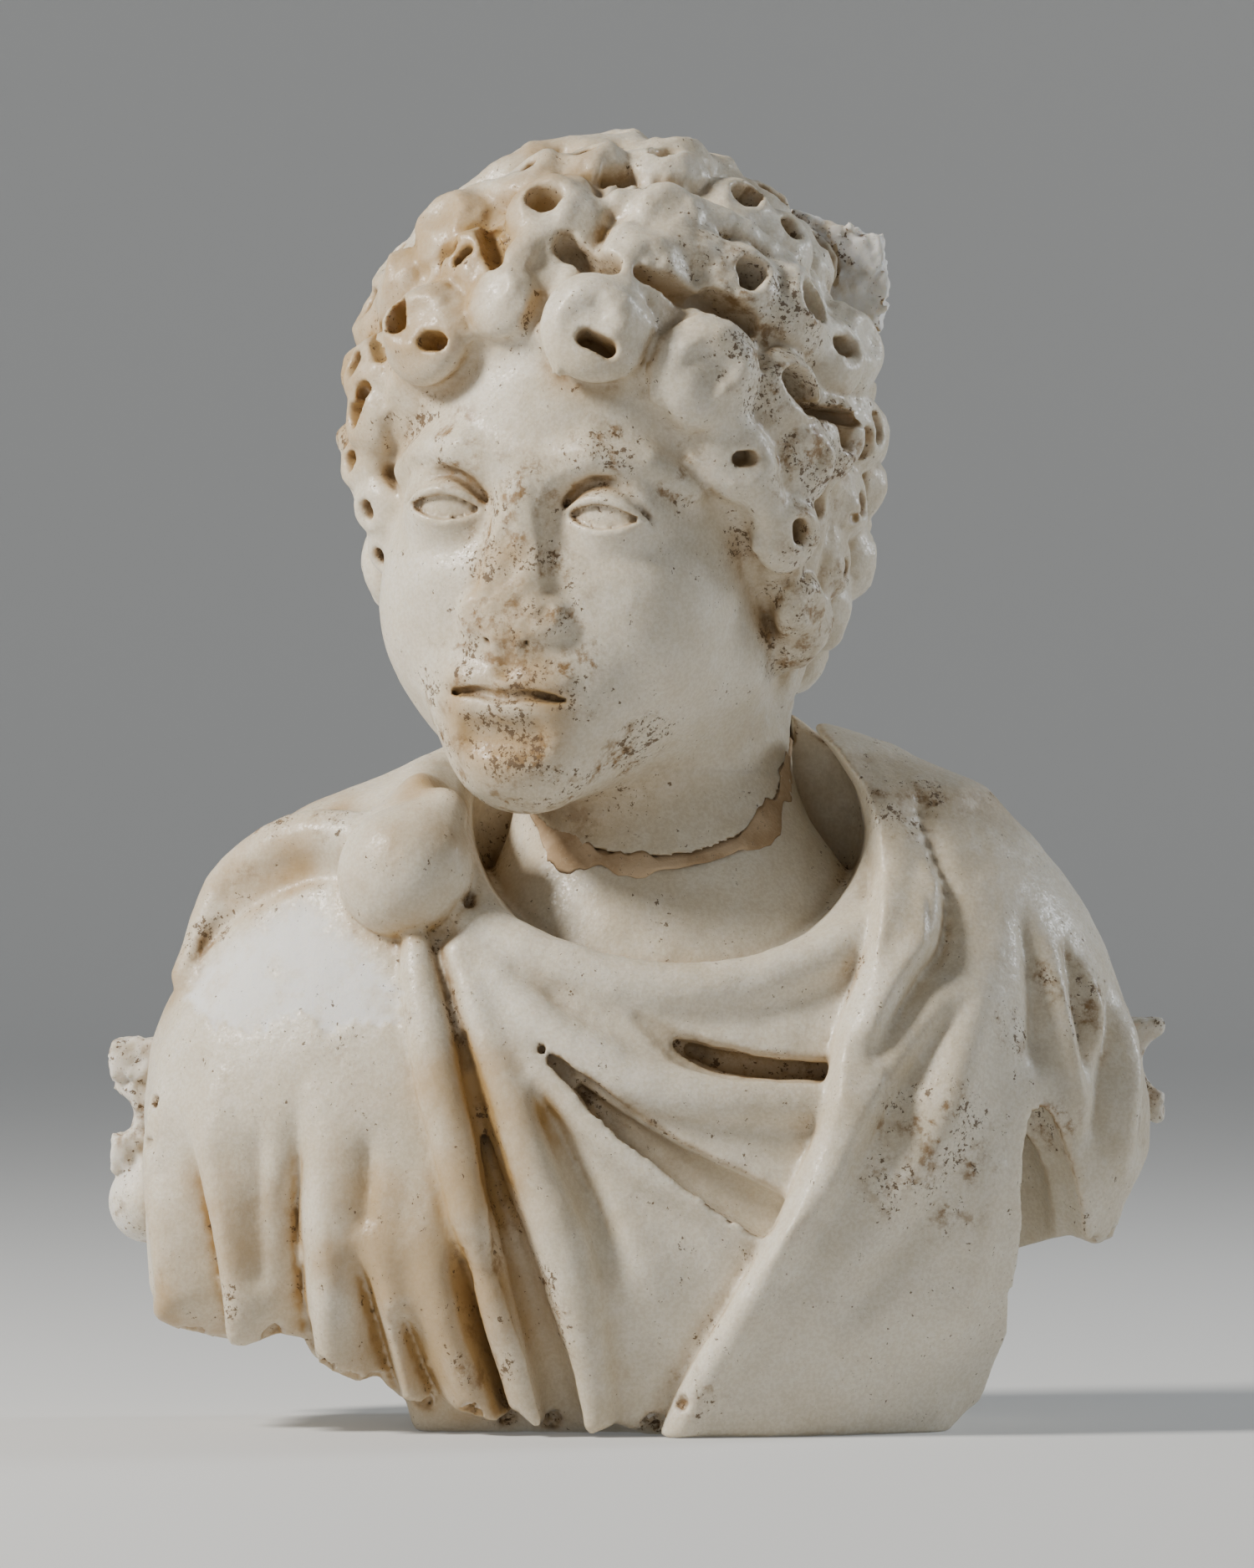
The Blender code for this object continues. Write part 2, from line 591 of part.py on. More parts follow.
BACKING_BAR = Sweep(((-97, 17, 66), (-40, 30, 67), (40, 30, 68), (97, 17, 72)), (9.0, 11.0, 11.0, 8.0))
BACKING_ENDS = (
    Ball((-101.5, 17, 72.5), (6.6, 9.0, 5.6)),
    Ball((-99.5, 17, 64.5), (4.6, 8.0, 5.0)),
    Ball((-102.5, 16, 55.5), (6.0, 8.0, 4.4)),
    Ball((104.0, 17, 78.5), (5.2, 8.0, 4.4)),
    Ball((101.5, 17, 71.0), (4.2, 8.0, 5.0)),
    Ball((104.4, 15, 64.8), (4.8, 7.5, 4.6)),
    Ball((-100.4, 14, 44.6), (8.4, 9.0, 8.6)),
)
BACKING_CHANNELS = (
    Sweep(((-106.5, 8, 62), (-106.5, 26, 62)), (2.8, 2.8)),
    Sweep(((107.5, 8, 71.6), (107.5, 26, 71.6)), (3.0, 3.0)),
)


def backing(block):
    """The broken backing behind the shoulders, whose moulded ends show past the cloak."""
    block.add(BACKING_BAR, 3.0)
    for end in BACKING_ENDS:
        block.add(end, 1.2)
    for channel in BACKING_CHANNELS:
        block.cut(channel, 0.8)


HEAD_ROOM = 6.5


class HeadRoom:
    """The space that the jaw and the hair need over the near shoulder."""

    low = np.array((-70.0, -60.0, 122.0))
    high = np.array((70.0, 75.0, 200.0))

    def distance(self, points):
        in_head = Block(bust_to_head(points))
        skull(in_head)
        in_head.add(HAIR, 3.0)
        return in_head.distance - HEAD_ROOM


class Hem:
    """The space under the bust's lower edge."""

    low = np.array((-130.0, -90.0, -20.0))
    high = np.array((130.0, 90.0, 80.0))

    def distance(self, points):
        return (points[:, 2] - np.interp(points[:, 0], HEM[:, 0], HEM[:, 1])) * 0.75


def bust_field(block):
    block.add(Torso(), 1.0)
    block.cut(Opening(), 3.0)
    drapery(block)
    block.cut(HeadRoom(), 4.0)
    block.distance = soft_min(block.distance, flesh(block.points), 2.0)
    block.add(BROOCH, 0.8)
    block.add(BROOCH_PINCH, 5.0)
    block.cut(Hem(), 1.2)
    backing(block)
    block.add(Foot(), 3.0)
    block.cut(NeckAbove(), 0.3)
    block.distance = np.maximum(block.distance, -block.points[:, 2])


# The head, in its own frame: the face looks along -Y, and z = 0 is half way up the skull

HEAD_CENTRE = np.array((-6.5, -3.0, 191.5))
HEAD_TURN = math.radians(-20.0)
HEAD_LEAN = math.radians(4.0)
HEAD_NOD = math.radians(3.0)


def turning(axis, angle):
    c, s = math.cos(angle), math.sin(angle)
    i, j = ((1, 2), (2, 0), (0, 1))[axis]
    matrix = np.eye(3)
    matrix[i, i] = matrix[j, j] = c
    matrix[i, j], matrix[j, i] = -s, s
    return matrix


HEAD_AXES = turning(2, HEAD_TURN) @ turning(1, HEAD_LEAN) @ turning(0, HEAD_NOD)


def head_to_bust(points):
    return np.asarray(points) @ HEAD_AXES.T + HEAD_CENTRE


def bust_to_head(points):
    return (np.asarray(points) - HEAD_CENTRE) @ HEAD_AXES


def skull(block):
    block.add(Ball((0, 6, 14), (42.5, 52, 47)), 1.0)
    block.add(Ball((0, -12, -15), (35.5, 36.5, 46.5)), 12.0)
    for side in (-1, 1):
        block.add(Sweep(((0, -36, -48), (side * 25.5, -6, -33)), (13.0, 14.0)), 12.0)
        block.add(Ball((side * 18.0, -28.5, -24), (16.5, 16, 19)), 12.0)
    block.add(Ball((0, -41.5, -53.5), (11, 9, 8.5)), 8.0)


EYE_APART = 16.9
EYE_HEIGHT = -4.0
EYE_DEPTH = -36.2
EYE_RADIUS = 10.2
EYE_HALF_WIDTH = 8.4
UPPER_LID_RISE = 3.7
LOWER_LID_DROP = 2.9
BROW = ((5, -45.4, 5.0), (14, -45.8, 8.0), (24, -41.0, 6.8), (31, -33, 2.5))


class Lids:
    """The eyelids: a shell a little larger than the eyeball, open along an almond."""

    def __init__(self, side):
        self.centre = np.array((side * EYE_APART, EYE_DEPTH, EYE_HEIGHT))
        self.low = self.centre - EYE_RADIUS - 3
        self.high = self.centre + EYE_RADIUS + 3

    def distance(self, points):
        offset = points - self.centre
        shell = length(offset) - EYE_RADIUS - 1.5
        upper = (EYE_HALF_WIDTH**2 + UPPER_LID_RISE**2) / (2 * UPPER_LID_RISE)
        lower = (EYE_HALF_WIDTH**2 + LOWER_LID_DROP**2) / (2 * LOWER_LID_DROP)
        x, _, z = offset.T
        above = np.hypot(x, z - UPPER_LID_RISE + upper) - upper
        below = np.hypot(x, z + LOWER_LID_DROP - lower) - lower
        almond = np.maximum(above, below)
        return soft_max(shell, -almond, 0.5)


def lid_line(side, rise, spread, lift, count=9):
    """Points along an eyelid's margin on the eyeball."""
    points = []
    for share in np.linspace(-1, 1, count):
        x = share * (EYE_HALF_WIDTH + spread)
        z = rise * (1 - share * share)
        y = -math.sqrt(max((EYE_RADIUS + lift) ** 2 - x * x - z * z, 1.0))
        points.append((side * EYE_APART + x, EYE_DEPTH + y, EYE_HEIGHT + z))
    return points


def eyes(block):
    for side in (-1, 1):
        block.cut(Ball((side * 16.5, -53.2, -3.0), (12.5, 8.6, 8.6)), 8.0)
        brow = [(side * x, y, z) for x, y, z in BROW]
        block.add(Sweep(brow, (2.2, 2.8, 2.4, 1.4)), 6.0)
        block.add(Lids(side), 2.2)
        block.add(Ball((side * EYE_APART, EYE_DEPTH, EYE_HEIGHT), EYE_RADIUS), 0.3)
        block.add(Sweep(lid_line(side, UPPER_LID_RISE, 0.4, 1.3), (0.7, 1.0, 1.0, 0.7)), 0.8)
        block.add(Sweep(lid_line(side, -LOWER_LID_DROP, 0.0, 1.1), (0.5, 0.7, 0.7, 0.5)), 0.8)
        block.cut(Sweep(lid_line(side, UPPER_LID_RISE + 3.4, 1.5, 1.6), (0.5, 0.9, 0.9, 0.5)), 1.4)


def nose(block):
    bridge = ((0, -45.0, 4), (0, -47.6, -8), (0, -50.4, -17), (0, -50.2, -24))
    block.add(Sweep(bridge, (4.0, 4.9, 6.4, 6.6)), 4.5)
    for side in (-1, 1):
        block.add(Ball((side * 7.6, -47.6, -24.6), (4.0, 5.4, 4.2)), 2.4)
        block.cut(Sweep(((side * 3.8, -52.5, -31.5), (side * 4.2, -50.0, -27.6)), (1.5, 1.4)), 1.0)


class NoseBreak:
    """What the blow took off the nose: all that stood in front of a rough, slanting face."""

    low = np.array((-13.0, -80.0, -30.5))
    high = np.array((13.0, -40.0, -1.0))

    def distance(self, points):
        x, y, z = points.T
        rough = 0.30 * uneven(points, 6.0) + 0.12 * uneven(points, 2.6)
        face = -51.2 + 0.08 * (z + 8) + 0.012 * x * x + rough
        window = np.maximum(np.abs(z + 15.5) - 14.5, np.abs(x) - 11.0)
        return np.maximum(y - face, window)


def mouth(block):
    block.add(Ball((0, -40.6, -40), (18.5, 10.4, 14)), 8.0)
    for side in (-1, 1):
        block.add(Ball((side * 5.2, -49.0, -37.5), (8.0, 3.6, 2.8)), 2.0)
        block.add(Ball((side * 4.0, -48.4, -43.4), (8.2, 4.2, 3.3)), 2.0)
    block.add(Ball((0, -50.2, -38.0), (3.2, 3.0, 2.4)), 1.5)
    half = [(12.4, -48.6, -41.0), (9.5, -50.4, -40.4), (5.5, -52.2, -40.0), (0, -53.2, -40.8)]
    slit = smooth_path(half + [(-x, y, z) for x, y, z in half[-2::-1]], 15)
    block.cut(Sweep(slit, (0.5, 0.9, 1.1, 0.9, 0.5)), 1.2)
    block.cut(Sweep(((-6, -53.4, -49.0), (6, -53.4, -49.0)), (3.0, 3.0)), 4.0)
    block.cut(Sweep(((0, -54.4, -30.5), (0, -53.6, -35.0)), (1.6, 1.9)), 2.0)


# The hair. Its edge in the side view: height, and how far back the hair starts there.
HAIRLINE = np.array([
    (-60, 32), (-50, 26), (-44, 14), (-32, 0), (-20, -10), (-8, -20), (4, -30), (16, -37), (26, -42),
    (36, -49), (46, -64),
])


HAIR_MASSES = (
    (Ball((-1.5, 7, 13), (49.5, 58.0, 54.5)), 1.0),
    (Ball((0, 24, -14), (39, 33, 35)), 14.0),
    (Ball((34.5, -5, -9), (13.0, 22, 25)), 8.0),
    (Ball((-37, -5, -5), (10.0, 19, 21)), 8.0),
)
STRANDS_ROUND = 44
STRAND_DEPTH = 0.5


def hair_mass(points):
    """The hair as one smooth cap, before its edge and its locks."""
    distance = np.full(len(points), FAR)
    for shape, soft in HAIR_MASSES:
        distance = soft_min(distance, shape.distance(points), soft)
    return distance


def strand_waves(points):
    """Shallow waves that run from the crown down the cap, for the hair between the locks."""
    x, y, z = points.T
    round_crown = np.arctan2(y - 12.0, x)
    phase = STRANDS_ROUND * round_crown + 1.6 * np.sin(z * 0.15 + 2.0 * np.sin(3.0 * round_crown))
    return STRAND_DEPTH * np.cos(phase) * smoothstep(6.0, 26.0, np.hypot(x, y - 12.0))


class HairMass:
    low = np.array((-70.0, -75.0, -60.0))
    high = np.array((70.0, 85.0, 90.0))

    def distance(self, points):
        start = np.interp(points[:, 2], HAIRLINE[:, 0], HAIRLINE[:, 1])
        mass = hair_mass(points) - strand_waves(points)
        return soft_max(mass, (start - points[:, 1]) * 0.75, 4.0)


HAIR = HairMass()


def on_hair(x, z):
    """The point of the hair that the front view shows at x and z, in the head's frame, and its normal."""
    ys = np.arange(-80.0, 30.0, 0.5)
    line = bust_to_head(np.column_stack([np.full_like(ys, x), ys, np.full_like(ys, z)]))
    values = hair_mass(line)
    inside = np.flatnonzero(values < 0)
    if len(inside):
        return line[inside[0]], hair_normal(line[inside[0]])
    # Beyond the outline the nearest point of the hair serves.
    nearest = line[np.argmin(values)]
    normal = hair_normal(nearest)
    return nearest - normal * values.min(), normal


def hair_normal(spot):
    steps = np.vstack([spot + np.eye(3) * 0.5, spot - np.eye(3) * 0.5])
    values = hair_mass(steps)
    normal = values[:3] - values[3:]
    return normal / np.linalg.norm(normal)


class Pad:
    """A flattened ball that lies on the hair, which fills out a lock."""

    def __init__(self, centre, normal, across, thick):
        self.centre, self.normal = centre, normal
        self.across, self.thick = across, thick
        self.low = centre - across
        self.high = centre + across

    def distance(self, points):
        offset = points - self.centre
        up = offset @ self.normal
        out = np.sqrt(np.maximum((offset * offset).sum(1) - up * up, 0.0))
        share = np.hypot(up / self.thick, out / self.across)
        slope = np.hypot(up / self.thick**2, out / self.across**2)
        return share * (share - 1.0) / np.maximum(slope, 1e-6)


class Curl:
    """A thick lock that winds in round a drilled hole, with a tail where it leaves the hair."""

    def __init__(self, spot, normal, size, start, turn, sweep, hole, tail=0.7, depth=6.5, flutes=5):
        view_up = HEAD_AXES.T @ np.array((0.0, 0.0, 1.0))
        up = view_up - normal * (view_up @ normal)
        up /= np.linalg.norm(up)
        right = np.cross(up, normal)
        self.spot = spot
        path = []
        for share in np.linspace(-0.25, 1, 17):
            wound = max(share, 0.0)
            angle = math.radians(start) + turn * math.radians(sweep) * wound
            radius = size * (0.66 - 0.34 * wound)
            around = right * math.cos(angle) + up * math.sin(angle)
            onward = turn * (up * math.cos(angle) - right * math.sin(angle))
            back = min(share, 0.0) * 4 * tail * size
            height = size * (0.0 + 0.26 * math.sin(math.pi * min(wound * 1.1, 1.0)) + 0.12 * wound)
            path.append(spot + around * radius + onward * back + normal * (height + 0.25 * back))
        widths = size * np.array((0.18, 0.34, 0.38, 0.38, 0.36, 0.30, 0.22))
        self.lock = Sweep(path, widths, flutes, 0.035 * size, normal)
        self.pad = Pad(spot - normal * 0.06 * size, normal, 0.84 * size, 0.46 * size)
        inner = spot + normal * size * 0.7
        radii = (size * hole, size * hole * 0.8)
        self.hole = Sweep((inner, spot - normal * depth), radii) if hole else None


# Locks placed by their centre in the front view: x, z, size, where they start, in degrees
# anticlockwise from the right, the way they turn, 1 anticlockwise and -1 clockwise, how far, and
# the drilled hole as a share of the size, 0 where the holes are listed by themselves.
FRONT_CURLS = (
    # The fringe over the forehead.
    (-7.7, 221.6, 11.4, 175, -1, 290, 0),
    (14.0, 212.8, 11.4, 150, -1, 280, 0.14),
    (-41.5, 221.0, 10.8, 55, 1, 300, 0),
    (-16.0, 244.8, 9.8, 235, -1, 330, 0.30),
    (-36.9, 242.4, 9.8, 20, 1, 320, 0),
    (-51.8, 237.4, 8.8, 80, 1, 300, 0),
    (-26.5, 227.5, 7.6, 130, -1, 220, 0),
    (2.5, 233.5, 8.4, 170, -1, 210, 0),
    # The crown.
    (-9.0, 255.5, 8.6, 210, 1, 300, 0.24),
    (5.6, 255.0, 9.4, 20, -1, 300, 0),
    (14.0, 256.8, 8.6, 60, -1, 300, 0.24),
    (21.0, 246.6, 8.4, 150, -1, 300, 0.28),
    (7.0, 243.0, 9.6, 165, -1, 210, 0),
    (20.5, 230.5, 9.6, 140, -1, 320, 0.26),
    (31.5, 226.5, 11.0, 60, 1, 320, 0),
    (29.0, 240.5, 8.4, 120, -1, 300, 0.22),
    (38.5, 241.5, 8.6, 100, -1, 320, 0.30),
    (-24.0, 256.0, 8.6, 30, 1, 230, 0),
    (-46.0, 250.0, 7.6, 60, 1, 300, 0.16),
    (29.5, 255.0, 8.0, 80, -1, 280, 0.22),
    # Beside the face.
    (-54.0, 226.5, 8.2, 100, 1, 300, 0),
    (-53.0, 214.5, 8.2, 90, 1, 320, 0.26),
    (-53.5, 204.5, 7.2, 60, 1, 320, 0.26),
    (-54.5, 196.0, 7.0, 100, 1, 300, 0.2),
    (-51.5, 186.5, 6.6, 60, 1, 300, 0.2),
    (-49.0, 178.0, 6.0, 60, 1, 300, 0.2),
    (29.0, 208.5, 9.4, 120, -1, 300, 0),
    (39.0, 217.5, 9.0, 90, -1, 320, 0),
    (45.0, 203.0, 8.8, 90, -1, 330, 0.26),
    (32.5, 195.5, 9.2, 150, -1, 300, 0.14),
    (42.0, 188.5, 8.0, 70, -1, 320, 0.28),
    (30.0, 181.0, 8.0, 150, -1, 320, 0.26),
    (39.0, 175.5, 7.6, 60, -1, 320, 0.24),
    (33.0, 166.5, 6.6, 100, -1, 300, 0.2),
)
# Holes and channels drilled between the locks: from x, z to x, z, and a radius.
HAIR_HOLES = (
    (-50.4, 238.4, -48.4, 240.4, 1.9),
    (-42.1, 239.0, -42.1, 240.6, 1.6),
    (-37.0, 236.4, -35.0, 237.0, 2.4),
    (-28.4, 240.6, -26.8, 233.6, 1.9),
    (-53.0, 228.4, -51.4, 228.8, 2.5),
    (-51.2, 222.4, -50.8, 217.4, 1.2),
    (-43.4, 221.4, -42.8, 224.2, 2.1),
    (-39.0, 218.6, -37.8, 218.8, 1.9),
    (-52.8, 208.0, -52.4, 210.4, 1.6),
    (-18.8, 227.0, -21.0, 222.0, 1.7),
    (-9.8, 218.6, -6.0, 216.6, 1.8),
    (-5.0, 252.4, -1.6, 252.8, 1.9),
    (5.0, 254.6, 6.4, 255.4, 3.2),
    (12.4, 257.0, 13.0, 257.4, 2.4),
    (20.6, 247.0, 21.6, 247.4, 2.3),
    (26.4, 251.6, 30.4, 247.0, 1.8),
    (20.6, 230.0, 21.4, 231.6, 2.4),
    (1.0, 231.2, 12.8, 227.2, 2.0),
    (15.0, 227.6, 21.8, 223.0, 2.2),
    (37.8, 243.4, 39.6, 233.0, 2.1),
    (31.0, 226.4, 32.6, 227.0, 4.6),
    (38.2, 218.8, 39.2, 218.8, 2.4),
    (29.0, 211.0, 31.0, 209.0, 3.4),
    (44.0, 199.6, 44.2, 202.4, 1.8),
    (36.0, 186.4, 37.2, 186.8, 2.5),
    (31.0, 206.6, 40.0, 205.0, 1.6),
    (-13.0, 238.0, -6.0, 232.4, 2.6),
)
BACK_CURL_COUNT = 150
BACK_CURL_ROOM = 10.8


def front_curls():
    for x, z, size, start, turn, sweep, hole in FRONT_CURLS:
        spot, normal = on_hair(x, z)
        yield Curl(spot, normal, size, start, turn, sweep, hole)


def back_curls():
    """Plainer locks over the rest of the head, spread evenly by the golden angle."""
    taken = [on_hair(x, z)[0] for x, z, *_ in FRONT_CURLS]
    for number in range(BACK_CURL_COUNT):
        height = 1 - 2 * (number + 0.5) / BACK_CURL_COUNT
        angle = number * math.pi * (3 - math.sqrt(5))
        level = math.sqrt(1 - height * height)
        way = np.array((level * math.cos(angle), level * math.sin(angle), height))
        line = np.array((0.0, 8.0, 8.0)) + way * np.arange(20.0, 95.0, 0.5)[:, None]
        spot = line[np.argmin(np.abs(hair_mass(line)))]
        if spot[1] < np.interp(spot[2], HAIRLINE[:, 0], HAIRLINE[:, 1]) + 4 or spot[2] < -42:
            continue
        if min(np.linalg.norm(spot - other) for other in taken) < BACK_CURL_ROOM:
            continue
        taken.append(spot)
        size = 9.6 + 1.6 * math.sin(number * 2.4)
        sweep = 240 + 70 * math.sin(number * 1.7)
        turn = 1 if number % 2 else -1
        hole = 0.2 if number % 3 else 0
        yield Curl(spot, hair_normal(spot), size, number * 97 % 360, turn, sweep, hole, 0.9, 4.0)


def hair_holes():
    """Drilled holes and channels between the locks."""
    for x, z, end_x, end_z, radius in HAIR_HOLES:
        ends = [on_hair(x, z), on_hair(end_x, end_z)]
        tops = [spot + normal * 7.0 for spot, normal in ends]
        feet = [spot - normal * 4.0 for spot, normal in ends]
        yield Slot(tops, feet, radius)


class Slot:
    """What a drill cuts that goes in at one place and is drawn to another."""

    def __init__(self, tops, feet, radius):
        corners = np.array(tops + feet)
        self.low = corners.min(0) - radius
        self.high = corners.max(0) + radius
        self.start = corners[0]
        self.along = corners[1] - corners[0]
        self.down = (corners[2] + corners[3] - corners[0] - corners[1]) / 2
        self.radius = radius

    def distance(self, points):
        offset = points - self.start
        depth = self.down / np.linalg.norm(self.down)
        sunk = np.clip(offset @ depth, 0.0, np.linalg.norm(self.down))
        flat = offset - sunk[:, None] * depth
        across = self.along - depth * (self.along @ depth)
        share = np.clip(flat @ across / max(across @ across, 1e-9), 0.0, 1.0)
        return length(flat - share[:, None] * across) - self.radius


STRANDS = (
    (((-6, 259), (-16, 258), (-28, 253), (-40, 245)), (3.2, 4.6, 4.2, 3.0)),
    (((6, 263), (-8, 262.5), (-22, 260), (-32, 255)), (3.0, 4.4, 4.2, 3.0)),
    (((-12, 250), (-22, 250), (-30, 249), (-38, 246)), (3.2, 4.2, 4.0, 3.0)),
    (((-3, 247), (8, 245), (18, 242), (28, 236)), (3.2, 4.6, 4.6, 3.6)),
    (((-2, 238), (8, 238), (16, 236), (23, 233)), (2.8, 4.2, 4.2, 3.0)),
    (((26, 258), (33, 252), (36, 246), (36, 240)), (2.8, 3.6, 3.6, 2.6)),
    (((18, 205), (22, 198), (25, 188), (31, 180)), (3.0, 4.2, 4.2, 3.0)),
    (((26, 203), (31, 196), (33, 188)), (2.4, 3.4, 2.6)),
    (((-20, 240), (-24, 234), (-28, 229)), (3.4, 4.0, 3.0)),
    (((-2, 240), (-4, 234), (-2, 229)), (3.4, 4.0, 3.0)),
)
# The rough stump of a lost support, behind the far side of the crown.
STUMP = Ball((43.5, 22.0, 235.0), (9.5, 11.0, 11.0))


def hair(block):
    block.add(HAIR, 3.0)
    for strand in STRAND_SHAPES:
        block.add(strand, 2.0)
    for curl in CURLS:
        block.add(curl.pad, 1.2)
    for curl in CURLS:
        block.add(curl.lock, 1.0)
    for curl in CURLS:
        if curl.hole:
            block.cut(curl.hole, 0.9)
    for hole in HOLES:
        block.cut(hole, 0.9)


def strand_shapes():
    for marks, radii in STRANDS:
        spots = [on_hair(x, z) for x, z in smooth_path(marks, 9)]
        yield Sweep([spot + normal * 0.6 for spot, normal in spots], radii)


CURLS = list(front_curls()) + list(back_curls())
STRAND_SHAPES = list(strand_shapes())
HOLES = list(hair_holes())


def head_field(block):
    skull(block)
    eyes(block)
    nose(block)
    mouth(block)
    block.cut(NoseBreak(), 0.6)
    hair(block)
    in_bust = Block(head_to_bust(block.points))
    over = Above(FILL_THICKNESS - BREAK_SPARE).distance(in_bust.points)
    throat = np.maximum(flesh(in_bust.points), over)
    in_bust.distance = soft_min(block.distance, throat, 9.0)
    in_bust.add(STUMP, 1.5)
    block.distance = in_bust.distance


# The break's faces

# How far the cutters reach past the neck and away from the break, and the filler's ragged edge.
CUTTER_PAST = 0.3
CUTTER_ROOM = 6.0
CUTTER_HEIGHT = 30.0
FILL_EDGE = -0.2
FILL_RAGGED = 0.4


def neck_outline(offset, ragged=0.0, count=48):
    """Points on the break where the neck's surface is this far inside them."""
    reach = np.arange(14.0, 60.0, 0.05)
    outline = []
    for number in range(count):
        bearing = 2 * math.pi * number / count
        x = BREAK_MIDDLE[0] + reach * math.cos(bearing)
        y = BREAK_MIDDLE[1] + reach * math.sin(bearing)
        depth = flesh(np.column_stack([x, y, break_height(x, y)]))
        edge = offset + ragged * (0.6 * math.sin(bearing * 5 + 0.6) + 0.4 * math.sin(bearing * 11))
        found = np.flatnonzero(depth > edge)[0]
        outline.append((x[found], y[found]))
    return np.array(outline)


def break_prism(name, outline, low, high):
    """A solid over the outline between two heights above the break."""
    middle = np.array(BREAK_MIDDLE)
    rim = np.vstack([outline, middle])
    count = len(outline)
    points = []
    for lift in (low, high):
        heights = break_height(rim[:, 0], rim[:, 1]) + lift
        points.append(np.column_stack([rim, heights]))
    faces = []
    for a in range(count):
        b = (a + 1) % count
        faces.append((b, a, count))
        faces.append((a + count + 1, b + count + 1, 2 * count + 1))
        faces.append((a, b, b + count + 1, a + count + 1))
    return mesh_object(name, np.vstack(points), faces)


def mesh_object(name, points, faces):
    mesh = bpy.data.meshes.new(name)
    mesh.from_pydata((np.asarray(points) * MM).tolist(), [], faces)
    mesh.validate()
    mesh.shade_smooth()
    obj = bpy.data.objects.new(name, mesh)
    bpy.context.scene.collection.objects.link(obj)
    return obj


# Meshing

def sampled(field, low, high, step):
    """The field's distances on a regular grid. Blocks of it far from the surface are skipped."""
    low = np.array(low, float)
    counts = np.ceil((np.array(high, float) - low) / step).astype(int) + 1
    grid = np.full(counts, FAR, np.float32)
    reach = BLOCK * step * 0.87 + SKIP_ROOM
    cells = -(-counts // BLOCK)
    local = np.stack(np.meshgrid(*[np.arange(BLOCK)] * 3, indexing="ij"), -1).reshape(-1, 3)

    def fill(corner):
        first = np.array(corner) * GROUP
        last = np.minimum(first + GROUP, cells)
        axes = [np.arange(a, b) for a, b in zip(first, last)]
        members = np.stack(np.meshgrid(*axes, indexing="ij"), -1).reshape(-1, 3)
        middles = Block(low + (members + 0.5) * BLOCK * step, reach)
        field(middles)
        near = np.abs(middles.distance) < reach
        for member, value in zip(members[~near], middles.distance[~near]):
            start = member * BLOCK
            end = start + BLOCK
            grid[start[0] : end[0], start[1] : end[1], start[2] : end[2]] = math.copysign(FAR, value)
        if near.any():
            spots = (members[near][:, None] * BLOCK + local).reshape(-1, 3)
            spots = spots[(spots < counts).all(1)]
            block = Block(low + spots * step)
            field(block)
            grid[tuple(spots.T)] = block.distance

    with ThreadPoolExecutor(THREADS) as pool:
        list(pool.map(fill, np.ndindex(*(-(-cells // GROUP)))))
    return grid


def largest_body(points, quads):
    """The points and faces of the largest connected surface, without any crumbs beside it."""
    labels = np.arange(len(points))
    ends = np.vstack([quads[:, [0, 1]], quads[:, [1, 2]], quads[:, [2, 3]]])
    while True:
        lowest = labels[ends].min(1)
        merged = labels.copy()
        np.minimum.at(merged, ends[:, 0], lowest)
        np.minimum.at(merged, ends[:, 1], lowest)
        merged = merged[merged]
        if (merged == labels).all():
            break
        labels = merged
    kept = labels == np.bincount(labels).argmax()
    renumbered = np.cumsum(kept) - 1
    return points[kept], renumbered[quads[kept[quads[:, 0]]]]


def carved(name, field, low, high, step, to_bust=None):
    """A mesh object, in metres, of the surface where the field is zero."""
    volume = openvdb.FloatGrid(FAR)
    volume.copyFromArray(sampled(field, low, high, step))
    points, _, quads = volume.convertToPolygons(0.0, 0.0)
    points, quads = largest_body(np.array(points, float), np.array(quads, np.int64))
    points = points * step + np.array(low, float)
    if to_bust:
        points = to_bust(points)
    return mesh_object(name, points, quads.tolist())


def thinned(obj, triangles):
    """Keeps this many triangles, fewer where the surface is plain."""
    have = sum(len(face.vertices) - 2 for face in obj.data.polygons)
    modifier = obj.modifiers.new("thin", "DECIMATE")
    modifier.ratio = min(1.0, triangles / have)


def parted(obj, cutter):
    """Cuts the object along the break."""
    cutter.hide_render = True
    cutter.display_type = "WIRE"
    modifier = obj.modifiers.new("break", "BOOLEAN")
    modifier.operation = "DIFFERENCE"
    modifier.solver = "MANIFOLD"
    modifier.object = cutter


def finish(name, colour, roughness):
    material = bpy.data.materials.new(name)
    material.use_nodes = True
    shader = material.node_tree.nodes["Principled BSDF"]
    shader.inputs["Base Color"].default_value = (*colour, 1.0)
    shader.inputs["Roughness"].default_value = roughness
    shader.inputs["Metallic"].default_value = 0.0
    return material


